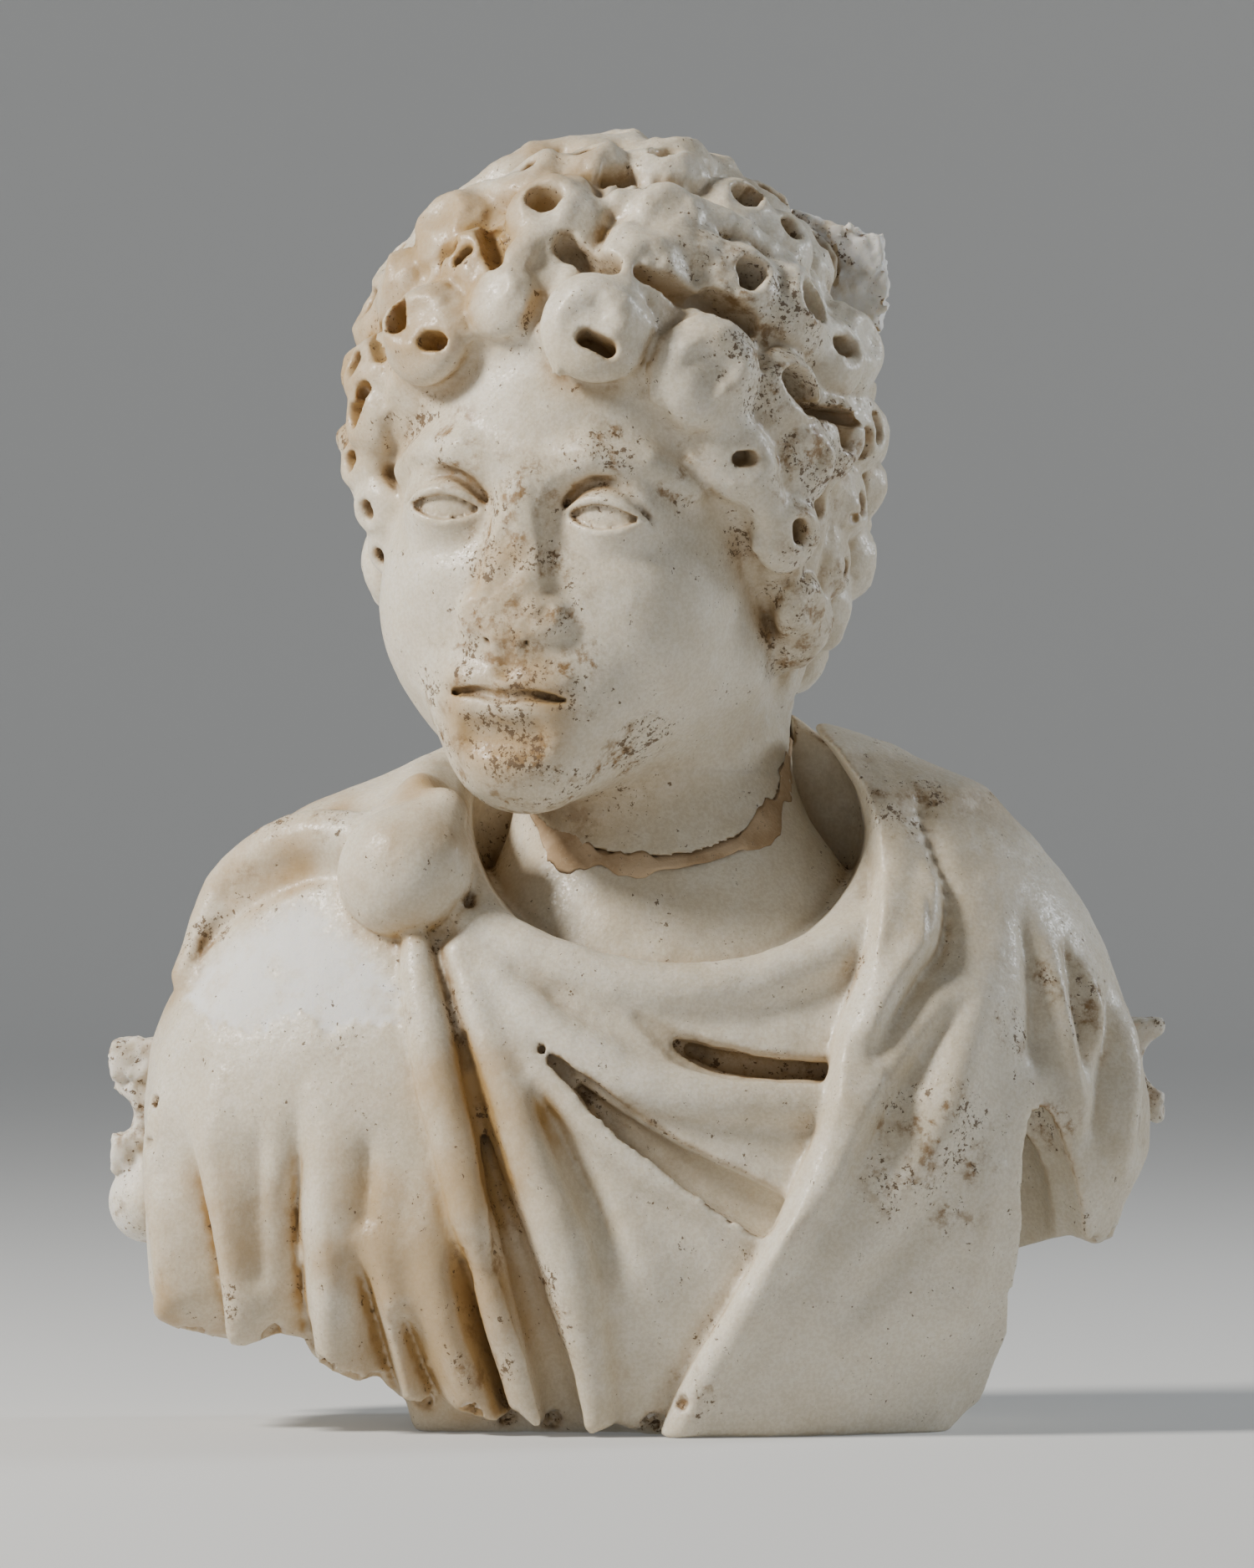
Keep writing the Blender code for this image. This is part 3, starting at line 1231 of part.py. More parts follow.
def main():
    for obj in list(bpy.data.objects):
        bpy.data.objects.remove(obj)
    marble = finish("aged_marble", (0.74, 0.69, 0.59), 0.42)
    filler = finish("tan_filler", (0.55, 0.40, 0.26), 0.85)
    bust = carved("draped_bust", bust_field, (-118, -72, -6), (118, 58, 162), BUST_STEP)
    head = carved("head", head_field, (-72, -76, -90), (74, 84, 86), HEAD_STEP, head_to_bust)
    thinned(bust, BUST_TRIANGLES)
    thinned(head, HEAD_TRIANGLES)
    bust_cutter = neck_outline(COLLAR_GAP + CUTTER_PAST)
    parted(bust, break_prism("bust_break", bust_cutter, 0.0, CUTTER_HEIGHT))
    parted(head, break_prism("head_break", neck_outline(CUTTER_ROOM), -CUTTER_HEIGHT, FILL_THICKNESS))
    fill_outline = neck_outline(FILL_EDGE, FILL_RAGGED)
    fill = break_prism("neck_join_filler", fill_outline, GAP, FILL_THICKNESS - GAP)
    bust.data.materials.append(marble)
    head.data.materials.append(marble)
    fill.data.materials.append(filler)


if __name__ == "__main__":
    main()
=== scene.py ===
"""The finished look of a small Roman marble bust of a youth in a cloak pinned on one shoulder.

The two marble pieces and the filler between them are carved again from distances, finer than the
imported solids, with the wear, chips and drilling that the solids leave out. Lengths of the carving
are in millimetres, and MM turns them into metres.
"""

import math
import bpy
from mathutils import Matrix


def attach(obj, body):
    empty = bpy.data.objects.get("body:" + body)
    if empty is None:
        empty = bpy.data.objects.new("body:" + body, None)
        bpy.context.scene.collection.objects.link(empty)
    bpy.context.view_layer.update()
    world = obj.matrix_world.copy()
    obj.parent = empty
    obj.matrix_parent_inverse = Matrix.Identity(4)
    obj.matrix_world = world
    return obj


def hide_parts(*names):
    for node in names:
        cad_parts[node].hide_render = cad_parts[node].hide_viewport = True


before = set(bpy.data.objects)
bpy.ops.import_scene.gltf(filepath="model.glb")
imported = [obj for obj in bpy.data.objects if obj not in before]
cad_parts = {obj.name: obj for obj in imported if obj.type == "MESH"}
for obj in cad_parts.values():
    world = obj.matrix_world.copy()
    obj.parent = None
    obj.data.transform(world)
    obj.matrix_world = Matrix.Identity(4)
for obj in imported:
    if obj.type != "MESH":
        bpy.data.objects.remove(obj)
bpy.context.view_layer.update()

from concurrent.futures import ThreadPoolExecutor

import bmesh
import bpy
import numpy as np
import openvdb
from mathutils import Vector

MM = 0.001
GAP = 0.3

# How finely the marble is sampled, in millimetres, and the triangles kept of each piece.
BUST_STEP = 0.85
HEAD_STEP = 0.65
MOST_TRIANGLES = 190000

# Sampling: samples along a block's side, blocks along a group's, and the room kept at the surface.
BLOCK = 6
GROUP = 5
SKIP_ROOM = 2.5
THREADS = 4
FAR = 99.0


# Shapes, as distances from points to a surface, negative inside

def length(vectors):
    return np.sqrt((vectors * vectors).sum(-1))


def smoothstep(low, high, value):
    share = np.clip((value - low) / (high - low), 0.0, 1.0)
    return share * share * (3.0 - 2.0 * share)


def soft_min(a, b, soft):
    near = np.maximum(soft - np.abs(a - b), 0.0) / soft
    return np.minimum(a, b) - near * near * soft * 0.25


def soft_max(a, b, soft):
    return -soft_min(-a, -b, soft)


def uneven(points, size):
    """A smooth, uneven value between about -1 and 1 that changes over this many millimetres."""
    total = np.zeros(len(points))
    for number in range(6):
        bearing = 2.4 * number + 0.3
        rise = 0.9 * math.sin(1.7 * number + 0.5)
        way = np.array((math.cos(bearing), math.sin(bearing), rise)) / math.hypot(1.0, rise)
        aside = np.array((-way[1], way[0], 0.6))
        drift = 1.3 * np.sin(points @ aside * (2.3 / size) + number)
        total += np.sin(points @ way * (6.28 / size) * (0.75 + 0.11 * number) + 1.9 * number + drift)
    return total / 3.2


class Ball:
    """An ellipsoid."""

    def __init__(self, centre, radii):
        self.centre = np.array(centre, float)
        self.radii = np.array(radii if hasattr(radii, "__len__") else (radii,) * 3, float)
        self.low = self.centre - self.radii
        self.high = self.centre + self.radii

    def distance(self, points):
        offset = points - self.centre
        share = length(offset / self.radii)
        slope = length(offset / self.radii**2)
        return share * (share - 1.0) / np.maximum(slope, 1e-6)


class Sweep:
    """A round bar of changing radius along a path. Flutes are the shallow grooves along a lock."""

    def __init__(self, path, radii, flutes=0, flute_depth=0.0, up=(0.0, 0.0, 1.0)):
        self.path = np.array(path, float)
        count = len(self.path)
        self.radii = np.interp(np.linspace(0, 1, count), np.linspace(0, 1, len(radii)), radii)
        reach = self.radii[:, None]
        self.low = (self.path - reach).min(0)
        self.high = (self.path + reach).max(0)
        self.flutes = flutes
        self.flute_depth = flute_depth
        self.up = np.array(up, float)

    def distance(self, points):
        best = np.full(len(points), FAR)
        turn = np.zeros(len(points))
        for a, b, ra, rb in zip(self.path[:-1], self.path[1:], self.radii[:-1], self.radii[1:]):
            along = b - a
            share = np.clip((points - a) @ along / max(along @ along, 1e-9), 0.0, 1.0)
            offset = points - a - share[:, None] * along
            found = length(offset) - (ra + share * (rb - ra))
            nearer = found < best
            best = np.where(nearer, found, best)
            if self.flutes:
                side = np.cross(along, self.up)
                side /= max(np.linalg.norm(side), 1e-6)
                top = np.cross(side, along)
                top /= max(np.linalg.norm(top), 1e-6)
                turn = np.where(nearer, np.arctan2(offset @ side, offset @ top), turn)
        if self.flutes:
            best = best - self.flute_depth * np.cos(turn * self.flutes)
        return best


def smooth_path(points, count):
    """A path of count points on a smooth curve through the given ones."""
    points = np.array(points, float)
    first = 2 * points[0] - points[1]
    last = 2 * points[-1] - points[-2]
    knots = np.vstack([first, points, last])
    path = []
    for step in np.linspace(0, len(points) - 1, count):
        i = min(int(step), len(points) - 2)
        t = step - i
        a, b, c, d = knots[i : i + 4]
        path.append(
            0.5 * (2 * b + (c - a) * t + (2 * a - 5 * b + 4 * c - d) * t**2 + (3 * b - a - 3 * c + d) * t**3)
        )
    return np.array(path)


class Block:
    """Sample points in a small box, and the distance from each to the stone's surface."""

    def __init__(self, points, spare=2.0):
        self.points = points
        self.spare = spare
        self.low = points.min(0)
        self.high = points.max(0)
        self.distance = np.full(len(points), FAR)

    def reach(self, low, high):
        """The samples inside a box, or None where it misses this block."""
        if (low > self.high).any() or (high < self.low).any():
            return None
        inside = ((self.points >= low) & (self.points <= high)).all(1)
        return np.flatnonzero(inside) if inside.any() else None

    def add(self, shape, soft=1.0):
        room = soft + self.spare
        found = self.reach(shape.low - room, shape.high + room)
        if found is not None:
            there = shape.distance(self.points[found])
            self.distance[found] = soft_min(self.distance[found], there, soft)

    def cut(self, shape, soft=1.0):
        room = soft + self.spare - 2.0
        found = self.reach(shape.low - room, shape.high + room)
        if found is not None:
            there = shape.distance(self.points[found])
            self.distance[found] = soft_max(self.distance[found], -there, soft)

    def swell(self, fold):
        """Raises or sinks the surface along a fold."""
        found = self.reach(fold.low, fold.high)
        if found is not None:
            self.distance[found] -= fold.rise(self.points[found])


# How far a fold's surface may stand off the path that it follows.
FOLD_ROOM = 12.0
# How much deeper and prouder than the solid's the finished valleys and ridges are.
VALLEY_SHARE = 1.3
RIDGE_SHARE = 1.04


class Fold:
    """A ridge, or with a negative height a valley, that follows a path on the surface.

    Across it the height falls off with the distance from the path: crest 2 is round and 1 sharp.
    It fades in over the first share of its length and out over the last.
    """

    def __init__(self, path, facing, width, height, crest=1.8, fade=(0.15, 0.2)):
        self.path = np.array(path, float)
        self.facing = np.array(facing, float)
        count = len(self.path)
        shares = np.linspace(0, 1, count)
        self.width = np.interp(shares, np.linspace(0, 1, len(width)), width)
        rise = np.interp(shares, np.linspace(0, 1, len(height)), height)
        fade_in = smoothstep(0, max(fade[0], 1e-3), shares) if fade[0] else 1.0
        fade_out = smoothstep(0, max(fade[1], 1e-3), 1 - shares) if fade[1] else 1.0
        self.height = rise * fade_in * fade_out * np.where(rise < 0, VALLEY_SHARE, RIDGE_SHARE)
        self.crest = crest
        reach = 2.4 * self.width.max() + 6
        self.low = self.path.min(0) - reach
        self.high = self.path.max(0) + reach

    def rise(self, points):
        best = np.full(len(points), 1e9)
        height = np.zeros(len(points))
        width = np.ones(len(points))
        for i in range(len(self.path) - 1):
            a, b = self.path[i], self.path[i + 1]
            along = b - a
            span = max(along @ along, 1e-9)
            offset = points - a
            share = np.clip(offset @ along / span, 0.0, 1.0)[:, None]
            facing = self.facing[i] + share * (self.facing[i + 1] - self.facing[i])
            out = ((offset - share * along) * facing).sum(1)
            # The point is brought down to the path's own level before it is measured.
            offset = offset - out[:, None] * facing
            share = np.clip(offset @ along / span, 0.0, 1.0)
            offset = offset - share[:, None] * along
            deep = np.maximum(np.abs(out) - FOLD_ROOM, 0.0)
            aside = (offset * offset).sum(1) + deep * deep
            nearer = aside < best
            best = np.where(nearer, aside, best)
            height = np.where(nearer, self.height[i] + share * (self.height[i + 1] - self.height[i]), height)
            width = np.where(nearer, self.width[i] + share * (self.width[i + 1] - self.width[i]), width)
        across = np.sqrt(np.maximum(best, 0.0)) / width
        return height * np.exp(-(across**self.crest))


# The draped torso

TORSO_ROUNDNESS = 2.35
# Height, then the left, right, front and back edge of the cloak there.
TORSO_SECTIONS = np.array([
    (-14, -60, 66, -40, 24),
    (0, -66, 70, -43, 28),
    (14, -86, 78, -47, 31),
    (26, -99, 90, -50, 33),
    (40, -100, 99, -51, 35),
    (52, -100, 103.5, -51, 36),
    (65, -100.5, 104, -50, 37),
    (78, -99, 101.5, -47.5, 38),
    (87, -95.5, 98.5, -45, 38.5),
    (96, -90, 95, -42, 38.5),
    (105, -86, 90, -38.5, 38.5),
    (111, -82.5, 85, -36, 38),
    (118, -78, 78, -32.5, 37),
    (124, -72.5, 70, -29, 36.5),
    (129, -62, 62, -26, 36),
    (133, -50.5, 52, -23, 35),
    (138, -41, 43.5, -19, 34),
    (143, -33, 36, -14, 32),
    (150, -24, 27, -8, 29),
    (160, -10, 14, 2, 22),
])
SMOOTHED_HEIGHTS = np.arange(-14.0, 160.0, 1.0)


def smoothed(table, over):
    """The table read at every millimetre and rounded off over a few."""
    window = np.hanning(over + 2)
    window /= window.sum()
    columns = []
    for column in table.T[1:]:
        dense = np.interp(SMOOTHED_HEIGHTS, table[:, 0], column)
        padded = np.pad(dense, over, mode="edge")
        columns.append(np.convolve(padded, window, mode="same")[over:-over])
    return columns


TORSO_EDGES = smoothed(TORSO_SECTIONS, 9)


def torso_section(heights):
    """Centre x and y, half width and half depth of the cloak at these heights."""
    left, right, front, back = (np.interp(heights, SMOOTHED_HEIGHTS, edge) for edge in TORSO_EDGES)
    return (left + right) / 2, (front + back) / 2, (right - left) / 2, (back - front) / 2


def torso_share(x, y, z):
    centre_x, centre_y, half_width, half_depth = torso_section(z)
    u = np.abs(x - centre_x) / half_width
    v = np.abs(y - centre_y) / half_depth
    n = TORSO_ROUNDNESS
    share = np.maximum(u**n + v**n, 1e-6) ** (1 / n)
    level_slope = np.sqrt((u ** (n - 1) / half_width) ** 2 + (v ** (n - 1) / half_depth) ** 2)
    return share, level_slope / share ** (n - 1)


class Torso:
    """The cloak's smooth outer form, before its folds."""

    low = np.array((-125.0, -75.0, -14.0))
    high = np.array((130.0, 60.0, 160.0))

    def distance(self, points):
        x, y, z = points.T
        share, level_slope = torso_share(x, y, z)
        above, _ = torso_share(x, y, z + 1.0)
        slope = np.sqrt(level_slope**2 + (above - share) ** 2)
        return (share - 1.0) / np.maximum(slope, 0.006)


def on_torso(x, z, behind=False, lift=0.0):
    """The point on the cloak's front or back at x and z, and the way the surface faces there."""
    centre_x, centre_y, half_width, half_depth = (float(v) for v in torso_section(z))
    u = min(abs(x - centre_x) / half_width, 0.985)
    v = (1 - u**TORSO_ROUNDNESS) ** (1 / TORSO_ROUNDNESS)
    x = centre_x + math.copysign(u * half_width, x - centre_x)
    y = centre_y + (v if behind else -v) * half_depth
    n = TORSO_ROUNDNESS - 1
    out_y = (v**n if behind else -(v**n)) / half_depth
    out = np.array((math.copysign(u**n, x - centre_x) / half_width, out_y, 0.0))
    out /= np.linalg.norm(out)
    return np.array((x, y, z)) + lift * out, out


def torso_path(marks, count=14, behind=False, lift=0.0):
    """A smooth path on the cloak through marks (x, z), with the way it faces at each point."""
    points = [on_torso(x, z, behind, lift) for x, z in smooth_path(marks, count)]
    return [p for p, _ in points], [out for _, out in points]


def torso_fold(marks, width, height, crest=1.8, fade=(0.15, 0.2), behind=False):
    path, facing = torso_path(marks, 24, behind)
    return Fold(path, facing, width, height, crest, fade)


def torso_bar(marks, radii, lift, count=14, behind=False):
    path, _ = torso_path(marks, count, behind, lift)
    return Sweep(path, radii)


# The bust's lower edge as seen from the front: x, and the height of the hem there.
HEM = np.array([
    (-108, 34), (-100.5, 30), (-97.5, 22.5), (-92, 20), (-84, 18), (-79, 17.5), (-72, 20),
    (-67, 19), (-65, 15), (-61, 12.5), (-56, 10.5), (-52, 11.5), (-48, 7.5), (-43, 6.5), (-40, 8),
    (-36, 5), (-28, 3), (-24, 5.5), (-20, 2), (-15, 3.5), (-9, 0.8), (-4, 2.5), (2, 0), (62, 0),
    (70, 6), (75, 20), (77, 36), (88, 39.5), (93, 37.5), (97, 38.5), (99.5, 46), (104, 54),
    (108, 62),
])
FOOT_LOW = np.array((-46.0, -34.0, -3.0))
FOOT_HIGH = np.array((64.0, 25.0, 16.0))


class Foot:
    """The plain core under the hem, which the bust stands on."""

    low = FOOT_LOW
    high = FOOT_HIGH

    def distance(self, points):
        middle = (FOOT_LOW + FOOT_HIGH) / 2
        half = (FOOT_HIGH - FOOT_LOW) / 2
        over = np.abs(points - middle) - half + 8.0
        return length(np.maximum(over, 0.0)) + np.minimum(over.max(1), 0.0) - 8.0


# The neck opening of the cloak, an ellipse in the front view that stops behind the neck.
OPENING_CENTRE = (7.0, 125.0)
OPENING_RADII = (40.5, 33.0)
OPENING_BACK = 12.0


class Opening:
    low = np.array((-36.0, -80.0, 88.0))
    high = np.array((50.0, 16.0, 175.0))

    def distance(self, points):
        u = (points[:, 0] - OPENING_CENTRE[0]) / OPENING_RADII[0]
        w = (points[:, 2] - OPENING_CENTRE[1]) / OPENING_RADII[1]
        share = np.sqrt(u * u + w * w)
        slope = np.sqrt((u / OPENING_RADII[0]) ** 2 + (w / OPENING_RADII[1]) ** 2)
        around = share * (share - 1.0) / np.maximum(slope, 1e-4)
        around = np.maximum(around, -40.0)
        return soft_max(around, points[:, 1] - OPENING_BACK, 6.0)


# The neck, from under the head to the chest.
NECK_TOP = (2.0, 9.0, 172.0)
NECK_FOOT = (5.0, 7.0, 112.0)
NECK_RADII = (26.5, 29.5)
CHEST = Ball((8.0, -3.0, 68.0), (53.0, 35.0, 60.0))


def flesh(points):
    """The bare chest and neck, which the break runs through."""
    body = Block(points)
    body.add(CHEST, 3.0)
    body.add(Sweep((NECK_TOP, NECK_FOOT), NECK_RADII), 14.0)
    return body.distance


# The break across the neck is steep in front and nearly level behind a crease through the middle.
BREAK_MIDDLE = (4.0, 7.5)
BREAK_HEIGHT = 136.6
BREAK_SLOPES = (0.061, 0.665, 0.12)
FILL_THICKNESS = 1.9
COLLAR_GAP = 1.2


def break_height(x, y):
    side, front, behind = BREAK_SLOPES
    back = y - BREAK_MIDDLE[1]
    return BREAK_HEIGHT + side * x + front * np.minimum(back, 0.0) + behind * np.maximum(back, 0.0)


class Above:
    """Everything above the break, by some lift."""

    low = np.array((-60.0, -60.0, 60.0))
    high = np.array((70.0, 80.0, 300.0))

    def __init__(self, lift):
        self.lift = lift

    def distance(self, points):
        return (break_height(points[:, 0], points[:, 1]) + self.lift - points[:, 2]) * 0.83


class NeckAbove:
    """The part of the neck that belongs to the head and the filler, with some room round it."""

    low = np.array((-60.0, -60.0, 60.0))
    high = np.array((70.0, 80.0, 185.0))

    def distance(self, points):
        return np.maximum(flesh(points) - COLLAR_GAP, Above(0.0).distance(points))


# The edge of the cloak's free end, which falls from the far shoulder over the chest: height and x.
EDGE = np.array([
    (146, 30.5), (138, 38.5), (130, 44.5), (122, 47), (112, 47.8), (102, 47), (91, 45), (83, 41.5),
    (79, 39.5), (70, 38.6), (62, 36.9), (54, 34), (46, 30.6), (34, 23.6), (19, 15), (8, 8.5),
    (0, 5.5), (-10, 2),
])


def edge_x(z):
    return np.interp(z, EDGE[::-1, 0], EDGE[::-1, 1])


def overlay(block):
    """Lifts the free end of the cloak over what lies under it."""
    x, y, z = block.points.T
    past = (x - edge_x(z)) * 0.86
    lift = 5.2 * smoothstep(-0.6, 2.2, past) * (1 - 0.75 * smoothstep(14, 52, past))
    front = 1 - smoothstep(-4, 14, y)
    block.distance -= lift * front * (1 - smoothstep(138, 150, z))


BROOCH = Ball((-46.6, -33.0, 112.6), (13.6, 12.6, 13.4))
BROOCH_PINCH = Sweep(((-44.5, -33.5, 115.5), (-39.0, -30.0, 125.0)), (10.4, 5.0))


def drapery_steps():
    """The folds of the cloak, from the wearer's right arm round to the left, in carving order."""
    # Hanging folds over the near arm: rounded ridges, and the sharp valleys between them.
    for marks, width, height in (
        (((-95, 80), (-97, 57), (-95, 42), (-92, 22)), (4.5, 5.5), (1.0, 3.4, 4.0)),
        (((-84, 80), (-86, 57), (-83, 42), (-78, 17)), (5.5, 6.5), (0.8, 3.6, 4.6)),
        (((-62, 78), (-62, 52), (-63, 34), (-62, 14)), (7, 6.5), (0.6, 3.0, 4.0)),
        (((-50, 60), (-51, 44), (-49, 24), (-45, 5)), (5, 4), (0.4, 2.4, 3.4)),
        (((-40, 62), (-42, 42), (-38, 24), (-30, 2)), (5, 4.5), (0.4, 2.6, 3.6)),
    ):
        yield "swell", torso_fold(marks, width, height, 2.2, (0.3, 0.0)), 0
    for marks, width, height in (
        (((-92, 66), (-89, 50), (-86.5, 35), (-84.5, 17)), (2.4, 3.6), (-1.5, -6.0, -7.0)),
        (((-68, 74), (-69, 54), (-70, 42), (-67.5, 14)), (2.6, 3.8), (-1.5, -5.5, -7.5)),
        (((-76, 66), (-76.5, 50), (-76, 32)), (2.6, 3.0), (-1.4, -2.0)),
        (((-54, 64), (-53.5, 52), (-54, 44)), (2.2, 2.4), (-1.4, -1.8)),
        (((-57, 40), (-53.5, 25), (-50, 9)), (2.4, 3.0), (-1.5, -5.5, -6.5)),
        (((-47, 27), (-45.5, 20), (-40, 4)), (2.0, 2.6), (-1.5, -4.5, -5.5)),
        (((-36, 40), (-33, 30), (-28.6, 17), (-22, 1)), (2.2, 2.8), (-2.0, -5.5, -6.5)),
    ):
        yield "swell", torso_fold(marks, width, height, 1.35, (0.35, 0.0)), 0

    # The folds that fan out from under the brooch.
    strap = ((-44, 99), (-43.2, 92), (-41, 80.6), (-38.6, 68.6), (-35.2, 56.6), (-32.6, 44.6), (-31, 36))
    yield "add", torso_bar(strap, (3.0, 4.0, 4.6, 4.9, 4.9, 4.6, 2.4), 0.6, 18), 1.6
    strap_end = ((-32, 38), (-27.4, 24), (-22, 10), (-18, -4))
    yield "add", torso_bar(strap_end, (1.8, 3.4, 4.2, 4.4), 0.4, 12), 1.6
    wedge = ((-36, 97), (-32, 86), (-25.5, 70), (-20.5, 56), (-15.5, 42), (-11.5, 27), (-8.5, 12), (-7, -4))
    yield "add", torso_bar(wedge, (2.2, 3.4, 4.6, 5.4, 5.6, 5.0, 4.4, 4.0), 0.4, 20), 2.6
    shoulder = ((-35, 95), (-24, 80), (-17, 71.5), (-7, 62), (4, 54.5), (15, 48.5), (26, 42))
    yield "add", torso_bar(shoulder, (2.0, 3.4, 4.4, 5.0, 5.2, 5.0, 4.6), -0.4, 18), 3.4
    upper = ((-33, 98), (-25, 89), (-17, 81), (-9, 76), (0, 71.5), (12, 68.6), (26, 67.8), (40, 67.4))
    yield "add", torso_bar(upper, (2.4, 3.8, 4.8, 5.2, 5.2, 5.0, 4.6, 4.4), -0.2, 20), 3.4
    neckline = ((-34, 104), (-25, 99), (-14, 94.5), (-2, 91), (11, 89.8), (25, 91.5), (38, 96), (48, 102))
    yield "add", torso_bar(neckline, (2.8, 3.8, 4.6, 5.0, 5.0, 4.8, 4.6, 4.6), -0.6, 20), 4.0
    belly = ((-14, 56), (-6, 44), (2, 32), (8, 20))
    yield "swell", torso_fold(belly, (6, 8), (1.0, 2.6), 2.0, (0.3, 0.4)), 0
    side = ((-20, 72), (-14, 58), (-7, 44), (-2, 30))
    yield "swell", torso_fold(side, (2.6, 3.4), (-2.0, -3.4), 1.5, (0.3, 0.4)), 0

    deep = ((-34.5, 80), (-31.6, 65.5), (-29, 53.7), (-24.4, 39.3), (-20.6, 26), (-16.5, 12), (-13, -4))
    yield "cut", torso_bar(deep, (0.6, 2.0, 2.8, 3.6, 4.2, 4.8, 5.0), 0.2, 18), 1.4
    yield "cut", torso_bar(deep[1:], (0.8, 1.8, 2.6, 3.2, 3.6, 4.0), -4.0, 14), 1.4
    channel = ((-26, 86), (-23, 82.7), (-16.5, 75.5), (-11, 69.8), (-3.4, 62.4), (7.7, 55), (17.7, 49.6),
               (29, 43.5))
    yield "cut", torso_bar(channel, (0.6, 1.6, 2.4, 3.0, 3.6, 4.2, 4.8, 5.2), 0.6, 22), 1.4
    yield "cut", torso_bar(channel[3:], (0.8, 2.6, 3.4, 4.0, 4.4), -3.6, 18), 1.4
    pocket = ((0, 84), (5, 80.8), (11, 77.4), (19, 75.0), (29, 73.6), (42, 73.0))
    yield "cut", torso_bar(pocket, (0.6, 2.2, 3.6, 3.8, 3.2, 3.0), 0.6, 18), 1.2
    yield "cut", torso_bar(pocket[1:], (1.2, 2.6, 3.0, 2.8, 2.8), -5.0, 14), 1.4
    yield "cut", torso_bar(pocket[2:], (1.4, 2.2, 2.2, 2.2), -9.0, 12), 1.4

    yield "lay over", None, 0

    # The free end: its rolled border, and the folds beside it.
    border = [(float(edge_x(z)) + 3.4, z) for z in (136, 124, 112, 100, 88, 76, 64, 50, 36, 22, 8, -4)]
    yield "add", torso_bar(border, (2.6, 3.4, 3.8, 3.8, 3.8, 3.8, 4.0, 4.0), 3.0, 24), 2.4
    for marks, width, height, crest in (
        (((59, 127), (58.5, 110), (55, 98), (48, 86), (42.5, 75)), (4.0, 4.5), (1.0, 3.6, 3.0), 2.0),
        (((64, 96), (59, 88), (53, 78), (47, 66), (40, 52), (28, 38)), (4.5, 5.5), (1.2, 3.4, 3.0), 2.0),
        (((72, 105), (68, 91), (64, 80), (62, 69), (58, 57), (50, 40)), (6, 7), (1.2, 3.6, 3.0), 2.0),
        (((71, 66), (69, 48), (66, 30), (60, 12)), (5, 6), (1.0, 2.6), 2.0),
        (((80.5, 104), (84, 88), (87.5, 73), (90, 60)), (3.2, 3.4), (1.0, 2.2, 1.8), 1.9),
        (((88, 98), (91, 86), (92, 74)), (2.6, 2.8), (1.0, 2.6, 1.6), 1.9),
        (((97, 92), (98.5, 78), (98, 66), (96, 46)), (3.6, 4.4), (1.2, 3.2, 2.8), 1.9),
    ):
        yield "swell", torso_fold(marks, width, height, crest, (0.3, 0.2)), 0
    under_border = ((50, 133), (56, 122), (60.5, 110), (60.5, 98), (56, 92), (50, 82), (45, 71))
    for marks, width, height, crest in (
        (under_border, (2.2, 3.2), (-1.8, -3.0, -2.4), 1.5),
        (((68, 92), (61, 83), (54, 73), (48, 62), (42, 49), (32, 34)), (3.2, 4.2), (-1.4, -3.0, -2.2), 1.5),
        (((64, 62), (60, 50), (50, 34), (38, 18)), (3.4, 4.4), (-1.0, -2.2, -1.8), 1.7),
        (((75, 108), (77.5, 96), (79.5, 84), (79.5, 70)), (2.0, 3.0), (-0.8, -2.0, -3.2), 1.4),
        (((84, 104), (86.5, 90), (89, 78), (91, 66)), (1.6, 2.0), (-0.8, -1.9, -1.5), 1.4),
        (((94.5, 92), (94.5, 80), (93, 68), (91, 56)), (1.8, 2.4), (-0.8, -2.0, -1.6), 1.4),
    ):
        yield "swell", torso_fold(marks, width, height, crest, (0.25, 0.25)), 0
    # The hollow between the body and the end that hangs over the far arm.
    arm_gap = ((79.5, 70), (80.5, 62), (82, 52), (83.6, 42), (84.5, 30), (84.5, 16))
    yield "cut", torso_bar(arm_gap, (1.0, 4.6, 6.8, 7.8, 9.0, 10.0), -2.0, 16), 2.0
    yield "cut", torso_bar(arm_gap[1:], (3.6, 6.0, 7.0, 8.4, 9.0), -12.0, 12), 2.0


def shoulder_steps():
    """The cloak brought forward over the near shoulder to the brooch, and its border's groove."""
    roll = ((-93, 92), (-87.5, 102), (-79.5, 112), (-69, 119), (-58, 120), (-49, 117))
    yield "add", torso_bar(roll, (2.6, 4.2, 5.4, 5.6, 5.4, 5.0), 1.0, 16), 4.0
    groove = ((-88, 95), (-85, 100), (-81, 104.5), (-75, 108.5), (-67, 112), (-59, 112.5))
    yield "cut", torso_bar(groove, (0.6, 1.6, 2.2, 2.6, 2.4, 1.6), 1.6, 16), 1.2
    gathers = ((-46, 122), (-40, 130), (-33, 139))
    yield "add", torso_bar(gathers, (7.0, 6.0, 5.0), -0.6, 10), 5.0
    yield "cut", torso_bar(((-33.5, 106), (-35.5, 121), (-31, 133)), (0.5, 2.2, 2.2), 1.0, 10), 2.0


